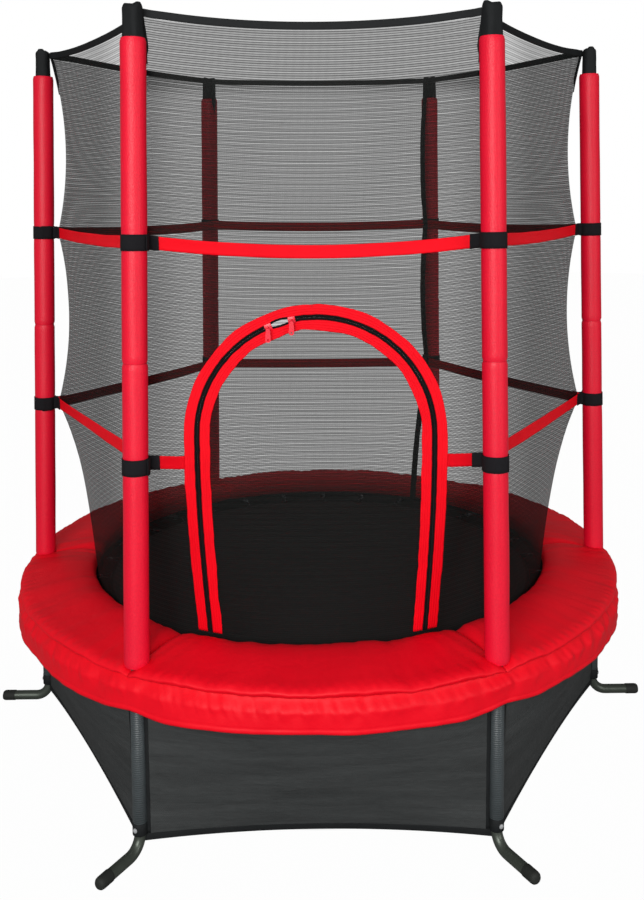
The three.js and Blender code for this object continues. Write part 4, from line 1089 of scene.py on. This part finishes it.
def arch_place(t, offset, parted):
    """Place on the arch, t from the left foot to the right one, moved out by an offset.
    Between the two sliders the zip's edges stand apart by a share of its opening."""
    along = t * ARCH_LENGTH
    from_foot = min(along, ARCH_LENGTH - along)
    if from_foot < LEG_LENGTH:
        z = DOOR_BOTTOM + from_foot
        return math.copysign(arch_leg(z) + offset, t - 0.5), z
    turn = math.pi - (along - LEG_LENGTH) / ARCH_RADIUS
    right, left = (math.radians(90 - SLIDER_TILT[name]) for name in ("right", "left"))
    open_share = math.sin(math.pi * min(1, max(0, (turn - right) / (left - right)))) ** 0.7
    return on_round(turn, offset + math.copysign(ZIP_OPENING * parted, offset) * open_share)


tape_red = uneven("tape_red", STRAP_RED, 0.55, (20, 400), (1.1, 0.78), threads=(1300, 700),
                  bump=(0.0005, 0.9), Specular_IOR_Level=0.15)

coil_colour = srgb(17, 17, 18)
coil_black, tree, shader = material("coil_black", coil_colour, 0.6, Specular_IOR_Level=0.15)
# The wave that bumps each tooth also paints its crest lighter and the gap between teeth darker: a painted
# highlight and painted shade on the coil.
teeth_bump_and_painted_light = wave_of(tree, add(tree, "SeparateXYZ", {0: on_cloth(tree)}).outputs[1], 0.0016)
tinted(tree, shader, coil_colour, 2.2, teeth_bump_and_painted_light, 0.5)
bumped(tree, shader, teeth_bump_and_painted_light, 0.0012)


def frontwards(at):
    return Vector((0, -1, 0))


def before_net(x, z, lift):
    """Place in front of the front panel."""
    return Vector((x, -(front_depth(x, z) + lift), z))


def tape_point(way, t, w):
    """Ribbed tape with a ragged edge, a little slack away from the zip."""
    slack = ease(0.1, 1, w) * (0.6 if way > 0 else 1.0)
    across = 0.005 + 0.020 * w + slack * (0.0030 * wavy(t * 26, way * 9.0) - 0.0008)
    across += 0.0009 * wavy(t * 90, way) * (ease(0.9, 1, w) + 1 - ease(0, 0.1, w))
    x, z = arch_place(t, way * across, 0.25 * (1 - w))
    ridge = 0.0009 * abs(math.sin(w * math.pi * 4)) ** 0.7
    loose = 0.0016 * slack * abs(wavy(t * 40, way * 5.0, w)) + 0.0006 * wavy(t * 12, way * 3.0, w)
    return before_net(x, z, TAPE_FACE + 0.0008 + ridge + loose)


def coil_point(way, t, w):
    angle = 2 * math.pi * w
    x, z = arch_place(t, way * (0.0029 + 0.0017 * math.cos(angle)), 1.0)
    return before_net(x, z, TAPE_FACE + 0.001 + 0.001 * math.sin(angle))


def zip_cloth_point(way, t, w):
    x, z = arch_place(t, way * (0.00004 + 0.00676 * w), 1.0 - w)
    return before_net(x, z, TAPE_FACE - 0.0003)


for way, name, body in ((1, "outer", "frame"), (-1, "inner", "door")):
    tape = piece(grown(360, 16, partial(tape_point, way), lambda t, w: (w * 0.02, t * ARCH_LENGTH)),
                 f"tape_{name}", tape_red, body, outward=frontwards)
    thick(tape, 0.0009)
    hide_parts(f"door_tape_{name}")
    coil = piece(filled(grown(320, 10, partial(coil_point, way), lambda t, w: (w * 0.008, t * ARCH_LENGTH))),
                 f"coil_{name}", coil_black, body, crease=60)
    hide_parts(f"zip_coil_{name}")
    cloth = piece(grown(320, 3, partial(zip_cloth_point, way), lambda t, w: (w * 0.007, t * ARCH_LENGTH)),
                  f"zip_cloth_{name}", binding, body, outward=frontwards)
    thick(cloth, 0.0005)

# Bar tack on the outer tape over the top of the arch
ARCH_TOP = ARCH_CENTRE + ARCH_RADIUS
tack = -(front_depth(0, ARCH_TOP + 0.02) + TAPE_FACE + 0.0022)
ends = [Vector((-0.006, tack, ARCH_TOP + 0.0185)), Vector((-0.0052, tack, ARCH_TOP + 0.0235))]
piece(stitches(ends, 0.0025, 0.0006), "bar_tack", thread_black, crease=80)

FLAP_HALF = 0.228                     # half the width of the grid that the flap is cut from


def flap_point(u, v):
    x = (2 * u - 1) * FLAP_HALF
    return before_net(x, DOOR_BOTTOM + FLAP_GAP + v * (ARCH_TOP + 0.004 - DOOR_BOTTOM), 0)


form = grown(48, 66, flap_point, lambda u, v: ((2 * u - 1) * FLAP_HALF, DOOR_BOTTOM + v * 0.626))
cut_along_zip(form, False)
flap = piece(form, "door_net", net_cloth, "door", outward=frontwards)
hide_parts("door_flap")

# ---------------------------------------------------------------------- zip sliders and pulls
# Two red painted sliders part the zip left of its top. Each has a bridge with a flat pull
# that hangs down and has a round hole in its end.
PLATE_BACK = DOOR_PLANE + TAPE_FACE + 0.002 + 0.00045
BRIDGE = PLATE_BACK + 0.002 + 0.0042
BAR_HALF = 0.0056
TAB_HOLE = -0.023                     # height of the pull's hole below the bridge
TAB_HALF = 0.005
TAB_THICK = 0.0018
EYE_RADIUS = 0.0022

slider_paint = uneven("slider_paint", srgb(228, 22, 48), 0.3, (90, 1200), (1.1, 0.85), bump=(0.0001, 0.4),
                      Specular_IOR_Level=0.4, Coat_Weight=0.1)


def block(size, x, y, z, bevel=0.0):
    form = bmesh.new()
    bmesh.ops.create_cube(form, size=1, matrix=Matrix.Translation((x, y, z)) @ Matrix.Diagonal((*size, 1)))
    if bevel:
        bmesh.ops.bevel(form, geom=form.edges[:], offset=bevel, segments=3, profile=0.5, affect="EDGES",
                        material=-1)
    return form


def tab_point(middle, u, v):
    """The flat pull: u round its edge, v from the hole's wall over the front and back."""
    hole = Vector((0, 0, TAB_HOLE))
    rim = polar(1, 2 * math.pi * u, 0).xzy
    outer = hole + rim * TAB_HALF
    if rim.z > 0:
        outer.x *= 1 - 0.45 * ease(0.5, 1, rim.z)
        outer.z = TAB_HOLE + min(1, rim.z * 1.3) * 0.0214
    inner = hole + rim * 0.0018
    at, depth = [(inner, 0), (inner, TAB_THICK), (outer, TAB_THICK), (outer, 0), (inner, 0)][round(v * 4)]
    return middle + at - Vector((0, BRIDGE + 0.0019 + depth, 0))


for name, degrees in SLIDER_TILT.items():
    turn = math.radians(degrees)
    middle = Vector((ARCH_RADIUS * math.sin(turn), 0, ARCH_CENTRE + ARCH_RADIUS * math.cos(turn)))
    face = block((0.014, 0.002, 0.0128), 0, -(PLATE_BACK + 0.001), 0, 0.0009)
    cheeks = [block((0.0016, 0.0056, 0.0024), x, -(PLATE_BACK + 0.0043), 0, 0.0005)
              for x in (-0.0054, 0.0054)]
    bends = ((-BAR_HALF, 0), (0, 0.0002), (BAR_HALF, 0))
    bar = wire([Vector((x, -BRIDGE - bow, 0)) for x, bow in bends], 0.0008, 12)
    neck = block((0.008, 0.0042, 0.0009), 0, -(PLATE_BACK - 0.0018), 0)
    back = block((0.012, 0.0012, 0.0044), 0, -(PLATE_BACK - 0.0042), 0.0024, 0.0004)
    form = gathered([face, *cheeks, bar, neck, back])
    place = Matrix.Translation(middle) @ Matrix.Rotation(turn, 4, "Y")
    bmesh.ops.transform(form, matrix=place, verts=form.verts)
    slider = piece(form, f"slider_{name}_body", slider_paint, f"slider_{name}")
    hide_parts(f"zip_slider_{name}")
    tab = grown(48, 4, partial(tab_point, middle))
    eye = wire([middle + Vector((0, -BRIDGE + EYE_RADIUS * math.cos(angle), EYE_RADIUS * math.sin(angle)))
                for angle in (k * math.pi / 8 for k in range(16))], 0.0005, 8, closed=True)
    pull = piece(gathered([tab, eye]), f"pull_{name}_tab", slider_paint, f"pull_{name}",
                 crease=50)
    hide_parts(f"zip_pull_{name}")

# ------------------------------------------------------------------------------------ skirt
# Black close-knit mesh hangs from the ring to the feet on all six sides. It is sewn to a
# sleeve round each leg, and a doubled hem at its foot bows up between the legs.
skirt_black = srgb(57, 59, 59)
skirt_cloth, tree, shader = material("skirt_cloth", skirt_black, 0.55, Specular_IOR_Level=0.2)
threads = woven(tree, 500, 620)
stretch = add(tree, "Mapping", {"Vector": on_cloth(tree), "Scale": (1.0, 9.0, 1.0)})
streaks = add(tree, "TexNoise", {"Vector": stretch.outputs[0], "Scale": 5.0, "Detail": 5.0,
                                 "Distortion": 0.4})
lines = add(tree, "TexNoise", {"Vector": stretch.outputs[0], "Scale": 45.0, "Detail": 3.0})
# The noise that bumps the long folds also colours the cloth, lighter on their crests and darker in their
# hollows: a painted sheen and painted shade, with fine random lines laid in.
painted_fold_light_and_lines = maths(tree, "MULTIPLY_ADD", streaks.outputs[0], 0.6, maths(tree, "MULTIPLY", lines.outputs[0], 0.4))
tinted(tree, shader, skirt_black, 1.75, painted_fold_light_and_lines, 0.25)
long_folds = add(tree, "Bump", {"Height": streaks.outputs[0], "Distance": 0.004, "Strength": 0.5})
bumped(tree, shader, threads["Height"], 0.0008, 0.9, long_folds.outputs[0])

sleeve_cloth, tree, shader = material("sleeve_cloth", srgb(52, 57, 59), 0.4, Specular_IOR_Level=0.5)
ribs = wave_of(tree, add(tree, "SeparateXYZ", {0: on_object(tree)}).outputs[2], 0.0042)
soft_tone = maths(tree, "MULTIPLY", spotted(tree, 45, 260)["Tone"], 0.6)
# The ribs also tint the colour: a painted highlight on each rib and painted shade between them, mixed with an
# uneven tone that is the cloth's own.
rib_painted_light_and_tone = maths(tree, "MULTIPLY_ADD", ribs, 0.4, soft_tone)
tinted(tree, shader, srgb(62, 68, 70), 1.6, rib_painted_light_and_tone, 0.45)
bumped(tree, shader, rib_painted_light_and_tone, 0.0009)

# The studs are only partly metallic, with a near-white base colour: a painted reflection that keeps them
# bright where the world shows little in reflections.
chrome_painted_reflection = uneven("chrome_painted_reflection", srgb(216, 218, 220), 0.2, (90, 900), (1, 1), gloss=("Grain", 0.16, 0.08),
                Metallic=0.55)

SKIRT_TOP = 0.3202
SKIRT_BOTTOM = 0.027
SKIRT_ARCH = 0.020                    # how far the lower edge bows up between the legs
SKIRT_HEM = 0.014
CUFF_BOTTOM = CAP_AXIS + FOOT_BEND - 0.001
STUD = [(0, 0.0024), (0.0016, 0.0024), (0.0026, 0.0017), (0.0042, 0.0014), (0.0046, 0), (0, 0)]


def skirt_low(side):
    """Height of the lower edge."""
    return SKIRT_BOTTOM + SKIRT_ARCH * (1 - side * side)


def skirt_out(x, down):
    """How far out the skirt hangs: on the ring's curve at the top, straight at its foot."""
    curve = math.sqrt(RING_RADIUS ** 2 - x ** 2)
    return curve + (RING_RADIUS * math.cos(HALF) - curve) * down


def skirt_point(k, u, v):
    side = 2 * u - 1
    x = side * RING_RADIUS * math.sin(HALF)
    loose = min(1, (1 - abs(side)) / 0.08) * ease(0.94, 0.84, v) * v
    sag = 0.004 * wavy(side * 1.6 + k, v * 2.5, k * 4.0)
    drawn = 0.0022 * math.exp(-(1 - abs(side)) / 0.25) * math.sin(v * 26 + k)
    out = skirt_out(x, v) + loose * (sag + drawn)
    return panel_turn(k) @ Vector((x, -out, SKIRT_TOP + (skirt_low(side) - SKIRT_TOP) * v))


def skirt_hem_point(side, v, k):
    angle = 2 * math.pi * v
    low = skirt_low(side)
    z = low + SKIRT_HEM / 2 * (1 + squared(math.sin(angle), 0.4))
    x = side * RING_RADIUS * math.sin(HALF)
    out = skirt_out(x, (SKIRT_TOP - z) / (SKIRT_TOP - low))
    proud = 0.0018 * squared(math.cos(angle), 0.5)
    return Vector((x + side * proud * math.tan(HALF), -(out + proud), z))


def skirt_seam_point(k, way, u, v):
    side = way * (0.940 + 0.026 * u)
    return skirt_point(k, 0.5 + side / 2, v * 0.95) + panel_turn(k) @ Vector((0, -0.0011, 0))


for k in range(6):
    form = grown(56, 36, partial(skirt_point, k), lambda u, v: ((2 * u - 1) * 0.3375, 0.32 - v * 0.29))
    skirt = piece(form, f"skirt_side_{k + 1}", skirt_cloth, outward=sideways)
    thick(skirt, 0.0010, 0.0)
    if k == 0:
        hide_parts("skirt")
piece(grown(300, 12, ring_of_panels(skirt_hem_point), (4, 0.04)), "skirt_hem", binding, crease=70)
seams = [grown(3, 36, partial(skirt_seam_point, k, way), (0.012, 0.28)) for k in range(6) for way in (-1, 1)]
thick(piece(gathered(seams), "skirt_seams", binding, outward=sideways), 0.0005)

sleeves, cuffs, studs = [], [], []
for k in range(6):
    leg = at_corner(k, (RING_RADIUS, 0, 0))
    sleeves.append(lathe(hollow(0.0124, 0.0138, CUFF_BOTTOM + 0.023, 0.2975), leg))
    cuffs.append(lathe(hollow(0.0124, 0.0144, CUFF_BOTTOM, CUFF_BOTTOM + 0.0245), leg))
    studs.append(lathe(STUD, at_corner(k, (RING_RADIUS + 0.0142, 0, CUFF_BOTTOM + 0.012), "X"), 20))
piece(gathered(sleeves), "skirt_sleeves", sleeve_cloth, crease=50)
piece(gathered(cuffs), "skirt_sleeve_hems", binding, crease=50)
piece(gathered(studs), "skirt_studs", chrome_painted_reflection, crease=50)
